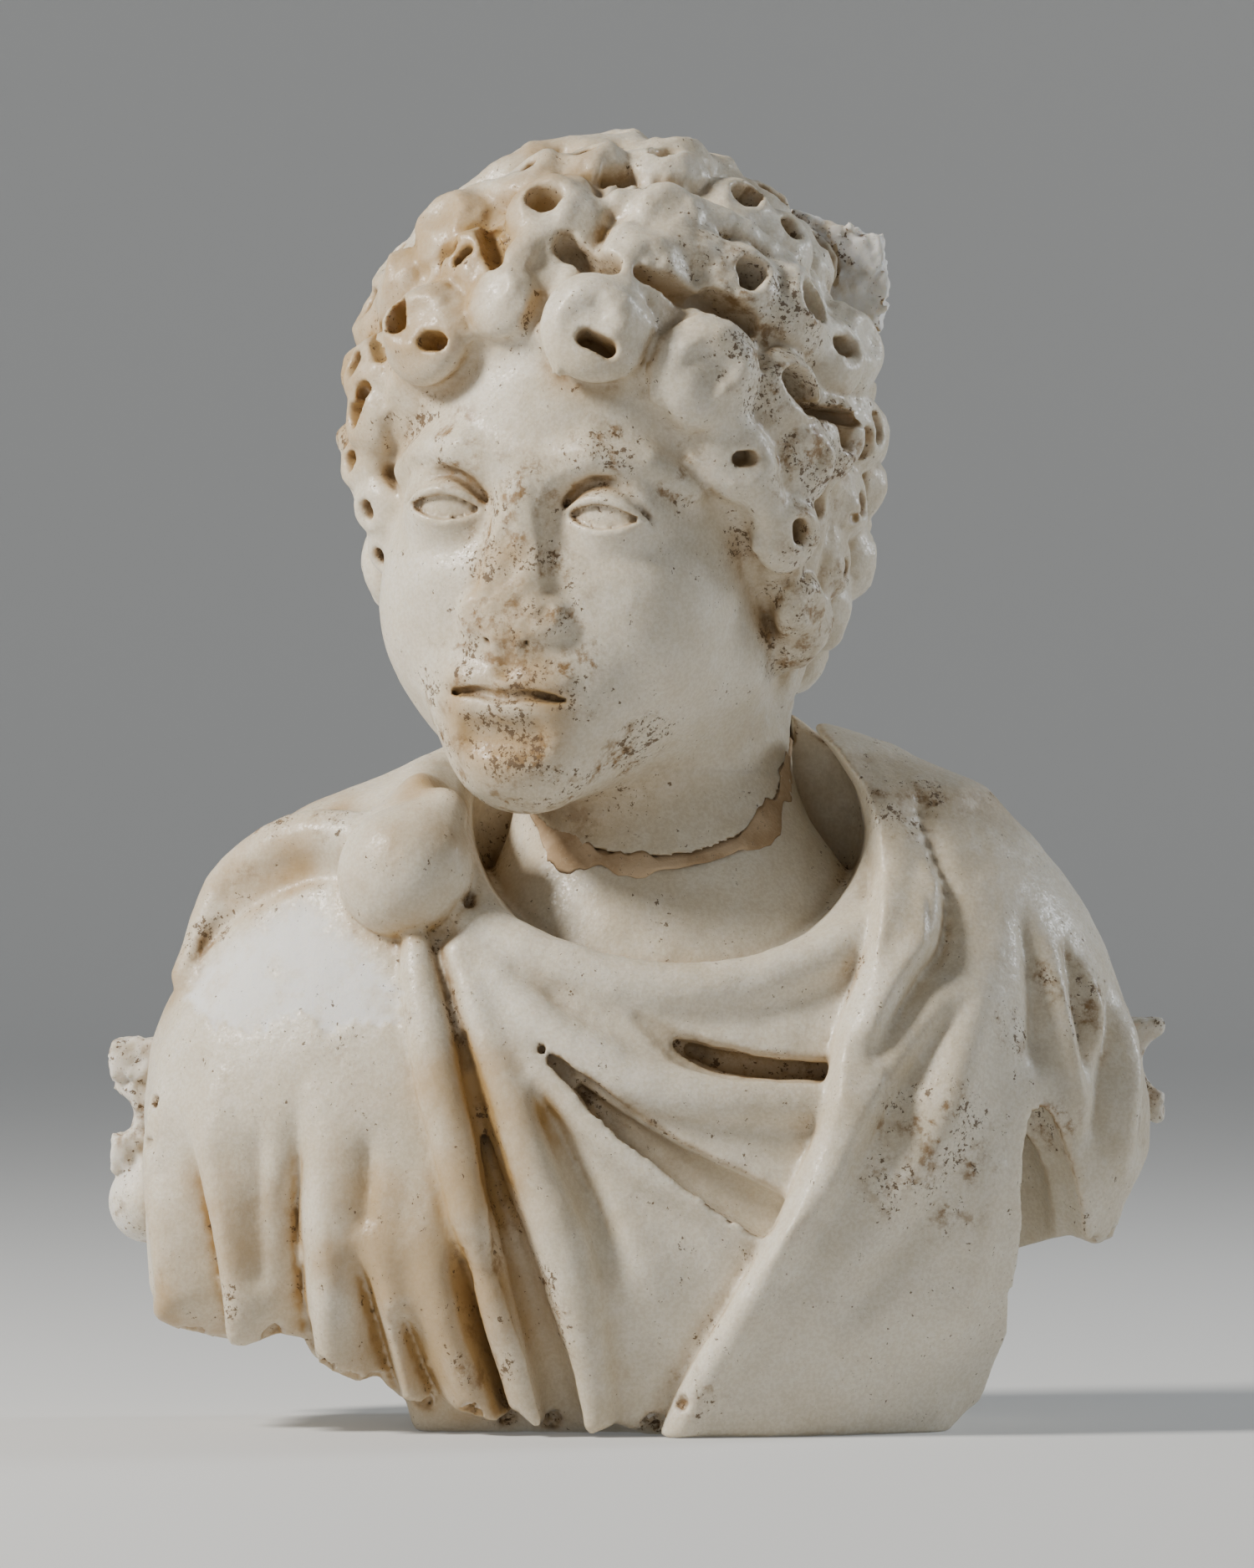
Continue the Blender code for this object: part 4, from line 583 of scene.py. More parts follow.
def back_steps():
    """Broad, plain folds of the cloak down the back."""
    for marks, width, height in (
        (((-62, 124), (-76, 100), (-84, 70), (-80, 24)), (7, 8), (1.2, 3.0, 2.8)),
        (((-30, 140), (-40, 110), (-52, 70), (-58, 10)), (8, 9), (1.5, 3.4, 3.0)),
        (((-8, 138), (-14, 110), (-24, 70), (-28, 4)), (7, 9), (1.5, 3.4, 3.0)),
        (((14, 138), (14, 110), (8, 70), (4, 0)), (7, 9), (1.5, 3.4, 3.0)),
        (((34, 136), (42, 110), (42, 70), (38, 2)), (7, 9), (1.5, 3.4, 3.0)),
        (((56, 122), (70, 100), (76, 70), (72, 30)), (7, 8), (1.2, 3.0, 2.6)),
    ):
        yield "swell", torso_fold(marks, width, height, 2.0, (0.2, 0.0), behind=True), 0
    for marks in (
        ((-46, 130), (-58, 106), (-68, 70), (-69, 18)),
        ((-20, 140), (-28, 110), (-39, 70), (-44, 4)),
        ((2, 140), (0, 110), (-9, 70), (-12, 2)),
        ((24, 138), (30, 110), (26, 70), (22, 2)),
        ((46, 130), (58, 104), (60, 70), (57, 8)),
    ):
        yield "swell", torso_fold(marks, (3.2, 4.2), (-1.5, -4.0, -4.2), 1.5, (0.2, 0.0), behind=True), 0


DRAPERY = [*drapery_steps(), *shoulder_steps(), *back_steps()]


def drapery(block):
    for kind, shape, soft in DRAPERY:
        if kind == "swell":
            block.swell(shape)
        elif kind == "add":
            block.add(shape, soft)
        elif kind == "cut":
            block.cut(shape, soft)
        else:
            overlay(block)


BACKING_BAR = Sweep(((-97, 17, 66), (-40, 30, 67), (40, 30, 68), (97, 17, 72)), (9.0, 11.0, 11.0, 8.0))


class Chunk:
    """A squared block with broken, uneven faces."""

    def __init__(self, low, high, rough):
        self.low = np.array(low, float)
        self.high = np.array(high, float)
        self.rough = rough

    def distance(self, points):
        middle = (self.low + self.high) / 2
        over = np.abs(points - middle) - (self.high - self.low) / 2 + 1.2
        box = length(np.maximum(over, 0.0)) + np.minimum(over.max(1), 0.0) - 1.2
        return box + self.rough * (uneven(points, 5.0) + 0.5 * uneven(points, 2.2))


BACKING_ENDS = (
    Chunk((-108.4, 8, 70.0), (-90, 25, 78.2), 0.4),
    Chunk((-107.0, 9, 63.0), (-90, 25, 72.0), 0.7),
    Chunk((-104.0, 10, 56.0), (-90, 24, 66.0), 0.7),
    Chunk((-108.0, 9, 51.0), (-90, 24, 58.6), 0.7),
    Chunk((90, 9, 68.0), (109.2, 24, 82.4), 0.3),
    Chunk((90, 8, 61.0), (108.8, 22, 69.2), 0.5),
    Ball((-100.4, 14, 44.6), (8.4, 9.0, 8.6)),
)
BACKING_CHANNELS = (
    Sweep(((-107.5, 6, 63), (-107.5, 28, 63)), (4.0, 4.0)),
    Sweep(((110.8, 6, 73.2), (110.8, 28, 73.2)), (6.2, 6.2)),
)


def backing(block):
    """The broken backing behind the shoulders, whose moulded ends show past the cloak."""
    block.add(BACKING_BAR, 3.0)
    for end in BACKING_ENDS:
        block.add(end, 1.2)
    for channel in BACKING_CHANNELS:
        block.cut(channel, 0.8)


HEAD_ROOM = 6.5


class HeadRoom:
    """The space that the jaw and the hair need over the near shoulder."""

    low = np.array((-70.0, -60.0, 122.0))
    high = np.array((70.0, 75.0, 200.0))

    def distance(self, points):
        in_head = Block(bust_to_head(points))
        skull(in_head)
        in_head.add(HAIR, 3.0)
        return in_head.distance - HEAD_ROOM


class Hem:
    """The space under the bust's lower edge."""

    low = np.array((-130.0, -90.0, -20.0))
    high = np.array((130.0, 90.0, 80.0))

    def distance(self, points):
        return (points[:, 2] - np.interp(points[:, 0], HEM[:, 0], HEM[:, 1])) * 0.75


def bust_field(block):
    block.add(Torso(), 1.0)
    block.cut(Opening(), 3.0)
    drapery(block)
    block.cut(HeadRoom(), 4.0)
    block.distance = soft_min(block.distance, flesh(block.points), 2.0)
    block.add(BROOCH, 0.8)
    block.add(BROOCH_PINCH, 5.0)
    block.cut(Hem(), 1.2)
    backing(block)
    block.add(Foot(), 3.0)
    block.cut(NeckAbove(), 0.3)
    block.distance = np.maximum(block.distance, -block.points[:, 2])


# The head, in its own frame: the face looks along -Y, and z = 0 is half way up the skull

HEAD_CENTRE = np.array((-6.5, -3.0, 191.5))
HEAD_TURN = math.radians(-20.0)
HEAD_LEAN = math.radians(4.0)
HEAD_NOD = math.radians(3.0)


def turning(axis, angle):
    c, s = math.cos(angle), math.sin(angle)
    i, j = ((1, 2), (2, 0), (0, 1))[axis]
    matrix = np.eye(3)
    matrix[i, i] = matrix[j, j] = c
    matrix[i, j], matrix[j, i] = -s, s
    return matrix


HEAD_AXES = turning(2, HEAD_TURN) @ turning(1, HEAD_LEAN) @ turning(0, HEAD_NOD)


def head_to_bust(points):
    return np.asarray(points) @ HEAD_AXES.T + HEAD_CENTRE


def bust_to_head(points):
    return (np.asarray(points) - HEAD_CENTRE) @ HEAD_AXES


def skull(block):
    block.add(Ball((0, 6, 14), (42.5, 52, 47)), 1.0)
    block.add(Ball((0, -12, -15), (35.5, 36.5, 46.5)), 12.0)
    for side in (-1, 1):
        block.add(Sweep(((0, -36, -48), (side * 25.5, -6, -33)), (13.0, 14.0)), 12.0)
        block.add(Ball((side * 18.0, -28.5, -24), (16.5, 16, 19)), 12.0)
    block.add(Ball((0, -41.5, -53.5), (11, 9, 8.5)), 8.0)


EYE_APART = 16.9
EYE_HEIGHT = -4.0
EYE_DEPTH = -36.2
EYE_RADIUS = 10.2
EYE_HALF_WIDTH = 8.4
UPPER_LID_RISE = 3.7
LOWER_LID_DROP = 2.9
BROW = ((5, -45.4, 5.0), (14, -45.8, 8.0), (24, -41.0, 6.8), (31, -33, 2.5))


class Lids:
    """The eyelids: a shell a little larger than the eyeball, open along an almond."""

    def __init__(self, side):
        self.centre = np.array((side * EYE_APART, EYE_DEPTH, EYE_HEIGHT))
        self.low = self.centre - EYE_RADIUS - 3
        self.high = self.centre + EYE_RADIUS + 3

    def distance(self, points):
        offset = points - self.centre
        shell = length(offset) - EYE_RADIUS - 1.5
        upper = (EYE_HALF_WIDTH**2 + UPPER_LID_RISE**2) / (2 * UPPER_LID_RISE)
        lower = (EYE_HALF_WIDTH**2 + LOWER_LID_DROP**2) / (2 * LOWER_LID_DROP)
        x, _, z = offset.T
        above = np.hypot(x, z - UPPER_LID_RISE + upper) - upper
        below = np.hypot(x, z + LOWER_LID_DROP - lower) - lower
        almond = np.maximum(above, below)
        return soft_max(shell, -almond, 0.5)


def lid_line(side, rise, spread, lift, count=9):
    """Points along an eyelid's margin on the eyeball."""
    points = []
    for share in np.linspace(-1, 1, count):
        x = share * (EYE_HALF_WIDTH + spread)
        z = rise * (1 - share * share)
        y = -math.sqrt(max((EYE_RADIUS + lift) ** 2 - x * x - z * z, 1.0))
        points.append((side * EYE_APART + x, EYE_DEPTH + y, EYE_HEIGHT + z))
    return points


def eyes(block):
    for side in (-1, 1):
        block.cut(Ball((side * 16.5, -53.2, -3.0), (12.5, 8.6, 8.6)), 8.0)
        brow = [(side * x, y, z) for x, y, z in BROW]
        block.add(Sweep(brow, (2.2, 2.8, 2.4, 1.4)), 6.0)
        block.add(Lids(side), 2.2)
        block.add(Ball((side * EYE_APART, EYE_DEPTH, EYE_HEIGHT), EYE_RADIUS), 0.3)
        block.add(Sweep(lid_line(side, UPPER_LID_RISE, 0.4, 1.3), (0.7, 1.0, 1.0, 0.7)), 0.8)
        block.add(Sweep(lid_line(side, -LOWER_LID_DROP, 0.0, 1.1), (0.5, 0.7, 0.7, 0.5)), 0.8)
        block.cut(Sweep(lid_line(side, UPPER_LID_RISE + 3.4, 1.5, 1.6), (0.5, 0.9, 0.9, 0.5)), 1.4)


def nose(block):
    bridge = ((0, -45.0, 4), (0, -47.6, -8), (0, -50.4, -17), (0, -50.2, -24))
    block.add(Sweep(bridge, (4.0, 4.9, 6.4, 6.6)), 4.5)
    for side in (-1, 1):
        block.add(Ball((side * 7.6, -47.6, -24.6), (4.0, 5.4, 4.2)), 2.4)
        block.cut(Sweep(((side * 3.8, -52.5, -31.5), (side * 4.2, -50.0, -27.6)), (1.5, 1.4)), 1.0)


class NoseBreak:
    """What the blow took off the nose: all that stood in front of a rough, slanting face."""

    low = np.array((-13.0, -80.0, -30.5))
    high = np.array((13.0, -40.0, -1.0))

    def distance(self, points):
        x, y, z = points.T
        rough = 0.30 * uneven(points, 6.0) + 0.12 * uneven(points, 2.6)
        face = -51.2 + 0.08 * (z + 8) + 0.012 * x * x + rough
        window = np.maximum(np.abs(z + 15.5) - 14.5, np.abs(x) - 11.0)
        return np.maximum(y - face, window)


def mouth(block):
    block.add(Ball((0, -40.6, -40), (18.5, 10.4, 14)), 8.0)
    for side in (-1, 1):
        block.add(Ball((side * 5.2, -49.0, -37.5), (8.0, 3.6, 2.8)), 2.0)
        block.add(Ball((side * 4.0, -48.4, -43.4), (8.2, 4.2, 3.3)), 2.0)
    block.add(Ball((0, -50.2, -38.0), (3.2, 3.0, 2.4)), 1.5)
    half = [(12.4, -48.6, -41.0), (9.5, -50.4, -40.4), (5.5, -52.2, -40.0), (0, -53.2, -40.8)]
    slit = smooth_path(half + [(-x, y, z) for x, y, z in half[-2::-1]], 15)
    block.cut(Sweep(slit, (0.5, 0.9, 1.1, 0.9, 0.5)), 1.2)
    block.cut(Sweep(((-6, -53.4, -49.0), (6, -53.4, -49.0)), (3.0, 3.0)), 4.0)
    block.cut(Sweep(((0, -54.4, -30.5), (0, -53.6, -35.0)), (1.6, 1.9)), 2.0)


# The hair. Its edge in the side view: height, and how far back the hair starts there.
HAIRLINE = np.array([
    (-60, 32), (-50, 26), (-44, 14), (-32, 0), (-20, -10), (-8, -20), (4, -30), (16, -37),
    (26, -42), (36, -49), (46, -64),
])
HAIR_MASSES = (
    (Ball((-1.5, 7, 13), (49.5, 58.0, 54.5)), 1.0),
    (Ball((0, 24, -14), (39, 33, 35)), 14.0),
    (Ball((34.5, -5, -9), (13.0, 22, 25)), 8.0),
    (Ball((-37, -5, -5), (10.0, 19, 21)), 8.0),
)
STRANDS_ROUND = 44
STRAND_DEPTH = 0.5


def hair_mass(points):
    """The hair as one smooth cap, before its edge and its locks."""
    distance = np.full(len(points), FAR)
    for shape, soft in HAIR_MASSES:
        distance = soft_min(distance, shape.distance(points), soft)
    return distance


def strand_waves(points):
    """Shallow waves that run from the crown down the cap, for the hair between the locks."""
    x, y, z = points.T
    round_crown = np.arctan2(y - 12.0, x)
    phase = STRANDS_ROUND * round_crown + 1.6 * np.sin(z * 0.15 + 2.0 * np.sin(3.0 * round_crown))
    return STRAND_DEPTH * np.cos(phase) * smoothstep(6.0, 26.0, np.hypot(x, y - 12.0))


class HairMass:
    low = np.array((-70.0, -75.0, -60.0))
    high = np.array((70.0, 85.0, 90.0))

    def distance(self, points):
        start = np.interp(points[:, 2], HAIRLINE[:, 0], HAIRLINE[:, 1])
        mass = hair_mass(points) - strand_waves(points)
        return soft_max(mass, (start - points[:, 1]) * 0.75, 4.0)


HAIR = HairMass()


def on_hair(x, z):
    """The point of the hair that the front view shows at x and z, in the head's frame, and its normal."""
    ys = np.arange(-80.0, 30.0, 0.5)
    line = bust_to_head(np.column_stack([np.full_like(ys, x), ys, np.full_like(ys, z)]))
    values = hair_mass(line)
    inside = np.flatnonzero(values < 0)
    if len(inside):
        return line[inside[0]], hair_normal(line[inside[0]])
    # Beyond the outline the nearest point of the hair serves.
    nearest = line[np.argmin(values)]
    normal = hair_normal(nearest)
    return nearest - normal * values.min(), normal


def hair_normal(spot):
    steps = np.vstack([spot + np.eye(3) * 0.5, spot - np.eye(3) * 0.5])
    values = hair_mass(steps)
    normal = values[:3] - values[3:]
    return normal / np.linalg.norm(normal)


class Pad:
    """A flattened ball that lies on the hair, which fills out a lock."""

    def __init__(self, centre, normal, across, thick):
        self.centre, self.normal = centre, normal
        self.across, self.thick = across, thick
        self.low = centre - across
        self.high = centre + across

    def distance(self, points):
        offset = points - self.centre
        up = offset @ self.normal
        out = np.sqrt(np.maximum((offset * offset).sum(1) - up * up, 0.0))
        share = np.hypot(up / self.thick, out / self.across)
        slope = np.hypot(up / self.thick**2, out / self.across**2)
        return share * (share - 1.0) / np.maximum(slope, 1e-6)


# How far a lock winds round, as a share of the solid's, and how wide and deep its eye is drilled.
SWEEP_SHARE = 0.72
HOLE_SHARE = 0.95
HOLE_DEPTH = 4.2
# The rest of a lock as shares of its size: the radius that it winds at and how much that shrinks,
# how high it lies at first, in the middle and last, how wide it is along its way, its flutes, and
# the width and thickness of the pad under it.
LOCK_RADII = (0.62, 0.27)
LOCK_HEIGHTS = (0.04, 0.13, 0.05)
LOCK_WIDTHS = np.array((0.08, 0.24, 0.38, 0.45, 0.47, 0.46, 0.42))
LOCK_FLUTES = 4
FLUTE_SHARE = 0.030
PAD_SHARES = (0.96, 0.54)
# How much of its way a lock lies straight before it winds, and how long that is.
LOCK_LEAD = 0.35
LEAD_LENGTH = 3.2


class Curl:
    """A thick lock that winds in round a drilled hole, soft where it lies on the hair."""

    def __init__(self, spot, normal, size, start, turn, sweep, hole, tail=0.7):
        view_up = HEAD_AXES.T @ np.array((0.0, 0.0, 1.0))
        up = view_up - normal * (view_up @ normal)
        up /= np.linalg.norm(up)
        right = np.cross(up, normal)
        path = []
        for share in np.linspace(-LOCK_LEAD, 1, 19):
            wound = max(share, 0.0)
            angle = math.radians(start) + turn * math.radians(sweep * SWEEP_SHARE) * wound
            radius = size * (LOCK_RADII[0] - LOCK_RADII[1] * wound)
            around = right * math.cos(angle) + up * math.sin(angle)
            onward = turn * (up * math.cos(angle) - right * math.sin(angle))
            back = min(share, 0.0) * LEAD_LENGTH * tail * size
            crest = math.sin(math.pi * min(wound * 1.1, 1.0))
            height = size * (LOCK_HEIGHTS[0] + LOCK_HEIGHTS[1] * crest + LOCK_HEIGHTS[2] * wound)
            path.append(spot + around * radius + onward * back + normal * (height + 0.25 * back))
        self.lock = Sweep(path, size * LOCK_WIDTHS, LOCK_FLUTES, FLUTE_SHARE * size, normal)
        across, thick = (share * size for share in PAD_SHARES)
        self.pad = Pad(spot - normal * 0.06 * size, normal, across, thick)
        aside = (right * math.cos(angle) + up * math.sin(angle)) * size * 0.2
        radius = size * hole * HOLE_SHARE
        ends = (spot - aside * 1.3, spot - aside * 0.2)
        tops = [end + normal * size * 0.8 for end in ends]
        feet = [end + normal * (0.48 * size - HOLE_DEPTH) for end in ends]
        self.hole = Slot(tops, feet, radius) if hole else None


# Locks placed by their centre in the front view: x, z, size, where they start, in degrees
# anticlockwise from the right, the way they turn, 1 anticlockwise and -1 clockwise, how far, and
# the drilled hole as a share of the size, 0 where the holes are listed by themselves.
FRONT_CURLS = (
    # The fringe over the forehead.
    (-7.7, 221.6, 11.4, 175, -1, 290, 0),
    (14.0, 212.8, 11.8, 150, -1, 280, 0),
    (-41.5, 221.0, 10.8, 55, 1, 300, 0),
    (-16.0, 244.8, 9.8, 235, -1, 330, 0.30),
    (-36.9, 242.4, 9.8, 20, 1, 320, 0),
    (-51.8, 237.4, 8.8, 80, 1, 300, 0),
    (-26.5, 227.5, 7.6, 130, -1, 220, 0),
    (2.5, 233.5, 8.4, 170, -1, 210, 0),
    # The crown.
    (-9.0, 255.5, 8.6, 210, 1, 300, 0.24),
    (5.6, 255.0, 9.4, 20, -1, 300, 0),
    (14.0, 256.8, 8.6, 60, -1, 300, 0.24),
    (21.0, 246.6, 8.4, 150, -1, 300, 0.28),
    (7.0, 243.0, 9.6, 165, -1, 210, 0),
    (20.5, 230.5, 9.6, 140, -1, 320, 0.26),
    (31.5, 226.5, 11.0, 60, 1, 320, 0),
    (29.0, 240.5, 8.4, 120, -1, 300, 0.22),
    (38.5, 241.5, 8.6, 100, -1, 320, 0.30),
    (-24.0, 256.0, 8.6, 30, 1, 230, 0),
    (-46.0, 250.0, 7.6, 60, 1, 300, 0.16),
    (29.5, 255.0, 8.0, 80, -1, 280, 0.22),
    # Beside the face.
    (-54.0, 226.5, 8.2, 100, 1, 300, 0),
    (-53.0, 214.5, 8.2, 90, 1, 320, 0.26),
    (-53.5, 204.5, 7.2, 60, 1, 320, 0.26),
    (-54.5, 196.0, 7.0, 100, 1, 300, 0.2),
    (-51.5, 186.5, 6.6, 60, 1, 300, 0.2),
    (-49.0, 178.0, 6.0, 60, 1, 300, 0.2),
    (29.0, 208.5, 9.4, 120, -1, 300, 0),
    (39.0, 217.5, 9.0, 90, -1, 320, 0),
    (45.0, 203.0, 8.8, 90, -1, 330, 0.26),
    (32.5, 195.5, 9.2, 150, -1, 300, 0),
    (42.0, 188.5, 8.0, 70, -1, 320, 0.28),
    (30.0, 181.0, 8.0, 150, -1, 320, 0.26),
    (39.0, 175.5, 7.6, 60, -1, 320, 0.24),
    (33.0, 166.5, 6.6, 100, -1, 300, 0),
)
# Holes and channels drilled between the locks: from x, z to x, z, and a radius.
HAIR_HOLES = (
    (-50.4, 238.4, -48.4, 240.4, 1.9),
    (-42.1, 239.0, -42.1, 240.6, 1.6),
    (-37.0, 236.4, -35.0, 237.0, 2.4),
    (-28.4, 240.6, -26.8, 233.6, 1.9),
    (-53.0, 228.4, -51.4, 228.8, 2.5),
    (-51.2, 222.4, -50.8, 217.4, 1.2),
    (-43.4, 221.4, -42.8, 224.2, 2.1),
    (-39.0, 218.6, -37.8, 218.8, 1.9),
    (-52.8, 208.0, -52.4, 210.4, 1.6),
    (-18.8, 227.0, -21.0, 222.0, 1.7),
    (-9.8, 218.6, -6.0, 216.6, 1.8),
    (-5.0, 252.4, -1.6, 252.8, 1.9),
    (5.0, 254.6, 6.4, 255.4, 3.2),
    (12.4, 257.0, 13.0, 257.4, 2.4),
    (20.6, 247.0, 21.6, 247.4, 2.3),
    (26.4, 251.6, 30.4, 247.0, 1.8),
    (20.6, 230.0, 21.4, 231.6, 2.4),
    (1.0, 231.2, 12.8, 227.2, 2.0),
    (15.0, 227.6, 21.8, 223.0, 2.2),
    (37.8, 243.4, 39.6, 233.0, 2.1),
    (31.0, 226.4, 32.6, 227.0, 4.6),
    (38.2, 218.8, 39.2, 218.8, 2.4),
    (29.0, 211.0, 31.0, 209.0, 3.4),
    (44.0, 199.6, 44.2, 202.4, 1.8),
    (36.0, 186.4, 37.2, 186.8, 2.5),
    (31.0, 206.6, 40.0, 205.0, 1.6),
    (-13.0, 238.0, -6.0, 232.4, 2.6),
)
BACK_CURL_COUNT = 150
BACK_CURL_ROOM = 10.8


def front_curls():
    for x, z, size, start, turn, sweep, hole in FRONT_CURLS:
        spot, normal = on_hair(x, z)
        yield Curl(spot, normal, size, start, turn, sweep, hole)


def back_curls():
    """Plainer locks over the rest of the head, spread evenly by the golden angle."""
    taken = [on_hair(x, z)[0] for x, z, *_ in FRONT_CURLS]
    for number in range(BACK_CURL_COUNT):
        height = 1 - 2 * (number + 0.5) / BACK_CURL_COUNT
        angle = number * math.pi * (3 - math.sqrt(5))
        level = math.sqrt(1 - height * height)
        way = np.array((level * math.cos(angle), level * math.sin(angle), height))
        line = np.array((0.0, 8.0, 8.0)) + way * np.arange(20.0, 95.0, 0.5)[:, None]
        spot = line[np.argmin(np.abs(hair_mass(line)))]
        if spot[1] < np.interp(spot[2], HAIRLINE[:, 0], HAIRLINE[:, 1]) + 4 or spot[2] < -42:
            continue
        if min(np.linalg.norm(spot - other) for other in taken) < BACK_CURL_ROOM:
            continue
        taken.append(spot)
        size = 9.6 + 1.6 * math.sin(number * 2.4)
        sweep = 240 + 70 * math.sin(number * 1.7)
        turn = 1 if number % 2 else -1
        hole = 0.2 if number % 3 else 0
        yield Curl(spot, hair_normal(spot), size, number * 97 % 360, turn, sweep, hole, 0.9)


def hair_holes():
    """Drilled holes and channels between the locks."""
    for x, z, end_x, end_z, radius in HAIR_HOLES:
        ends = [on_hair(x, z), on_hair(end_x, end_z)]
        tops = [spot + normal * 7.0 for spot, normal in ends]
        feet = [spot + normal * (0.6 if x < -15 else -4.0) for spot, normal in ends]
        yield Slot(tops, feet, radius)


class Slot:
    """What a drill cuts that goes in at one place and is drawn to another."""

    def __init__(self, tops, feet, radius):
        corners = np.array(tops + feet)
        self.low = corners.min(0) - radius
        self.high = corners.max(0) + radius
        self.start = corners[0]
        self.along = corners[1] - corners[0]
        self.down = (corners[2] + corners[3] - corners[0] - corners[1]) / 2
        self.radius = radius

    def distance(self, points):
        offset = points - self.start
        depth = self.down / np.linalg.norm(self.down)
        sunk = np.clip(offset @ depth, 0.0, np.linalg.norm(self.down))
        flat = offset - sunk[:, None] * depth
        across = self.along - depth * (self.along @ depth)
        share = np.clip(flat @ across / max(across @ across, 1e-9), 0.0, 1.0)
        return length(flat - share[:, None] * across) - self.radius


STRANDS = (
    (((-6, 259), (-16, 258), (-28, 253), (-40, 245)), (3.2, 4.6, 4.2, 3.0)),
    (((6, 263), (-8, 262.5), (-22, 260), (-32, 255)), (3.0, 4.4, 4.2, 3.0)),
    (((-12, 250), (-22, 250), (-30, 249), (-38, 246)), (3.2, 4.2, 4.0, 3.0)),
    (((-3, 247), (8, 245), (18, 242), (28, 236)), (3.2, 4.6, 4.6, 3.6)),
    (((-2, 238), (8, 238), (16, 236), (23, 233)), (2.8, 4.2, 4.2, 3.0)),
    (((26, 258), (33, 252), (36, 246), (36, 240)), (2.8, 3.6, 3.6, 2.6)),
    (((18, 205), (22, 198), (25, 188), (31, 180)), (3.0, 4.2, 4.2, 3.0)),
    (((26, 203), (31, 196), (33, 188)), (2.4, 3.4, 2.6)),
    (((-20, 240), (-24, 234), (-28, 229)), (3.4, 4.0, 3.0)),
    (((-2, 240), (-4, 234), (-2, 229)), (3.4, 4.0, 3.0)),
)


class Stump:
    """The rough stump of a lost support, behind the far side of the crown."""

    low = np.array((30.0, 9.0, 220.0))
    high = np.array((58.0, 36.0, 250.0))

    def distance(self, points):
        x, y, z = points.T
        side = x - 51.8 + 0.0125 * (z - 234.0) ** 2
        ends = np.maximum(z - 244.6 + 0.3 * (x - 48.0), 225.0 - z)
        depth = np.abs(y - 22.0) - 9.0
        block = np.maximum(np.maximum(side, ends), np.maximum(depth, 33.0 - x))
        return 0.9 * block + 0.55 * uneven(points, 5.5) + 0.3 * uneven(points, 2.4)


STUMP = Stump()


# How softly the parts of the hair run together, and how soft a drilled edge is.
MASS_SOFT = 3.0
STRAND_SOFT = 2.0
PAD_SOFT = 2.6
LOCK_SOFT = 1.8
DRILLED_SOFT = 0.9


def hair(block):
    block.add(HAIR, MASS_SOFT)
    for strand in STRAND_SHAPES:
        block.add(strand, STRAND_SOFT)
    for curl in CURLS:
        block.add(curl.pad, PAD_SOFT)
    for curl in CURLS:
        block.add(curl.lock, LOCK_SOFT)
    for hole in [curl.hole for curl in CURLS if curl.hole] + HOLES:
        block.cut(hole, DRILLED_SOFT)


def strand_shapes():
    for marks, radii in STRANDS:
        spots = [on_hair(x, z) for x, z in smooth_path(marks, 9)]
        yield Sweep([spot + normal * 0.6 for spot, normal in spots], radii)


CURLS = list(front_curls()) + list(back_curls())
STRAND_SHAPES = list(strand_shapes())
HOLES = list(hair_holes())


def head_field(block):
    skull(block)
    eyes(block)
    nose(block)
    mouth(block)
    block.cut(NoseBreak(), 0.6)
    hair(block)
    in_bust = Block(head_to_bust(block.points))
    over = Above(FILL_THICKNESS).distance(in_bust.points)
    throat = np.maximum(flesh(in_bust.points), over)
    in_bust.distance = soft_min(block.distance, throat, 9.0)
    in_bust.add(STUMP, 1.5)
    block.distance = in_bust.distance


BUST_LOW, BUST_HIGH = (-118, -72, -6), (118, 58, 162)
HEAD_LOW, HEAD_HIGH = (-72, -76, -90), (74, 84, 86)


# Meshing

def sampled(field, low, high, step):
    """The field's distances on a regular grid. Blocks of it far from the surface are skipped."""
    low = np.array(low, float)
    counts = np.ceil((np.array(high, float) - low) / step).astype(int) + 1
    grid = np.full(counts, FAR, np.float32)
    reach = BLOCK * step * 0.87 + SKIP_ROOM
    cells = -(-counts // BLOCK)
    local = np.stack(np.meshgrid(*[np.arange(BLOCK)] * 3, indexing="ij"), -1).reshape(-1, 3)

    def fill(corner):
        first = np.array(corner) * GROUP
        last = np.minimum(first + GROUP, cells)
        axes = [np.arange(a, b) for a, b in zip(first, last)]
        members = np.stack(np.meshgrid(*axes, indexing="ij"), -1).reshape(-1, 3)
        middles = Block(low + (members + 0.5) * BLOCK * step, reach)
        field(middles)
        near = np.abs(middles.distance) < reach
        for member, value in zip(members[~near], middles.distance[~near]):
            start = member * BLOCK
            end = start + BLOCK
            grid[start[0] : end[0], start[1] : end[1], start[2] : end[2]] = math.copysign(FAR, value)
        if near.any():
            spots = (members[near][:, None] * BLOCK + local).reshape(-1, 3)
            spots = spots[(spots < counts).all(1)]
            block = Block(low + spots * step)
            field(block)
            grid[tuple(spots.T)] = block.distance

    with ThreadPoolExecutor(THREADS) as pool:
        list(pool.map(fill, np.ndindex(*(-(-cells // GROUP)))))
    return grid


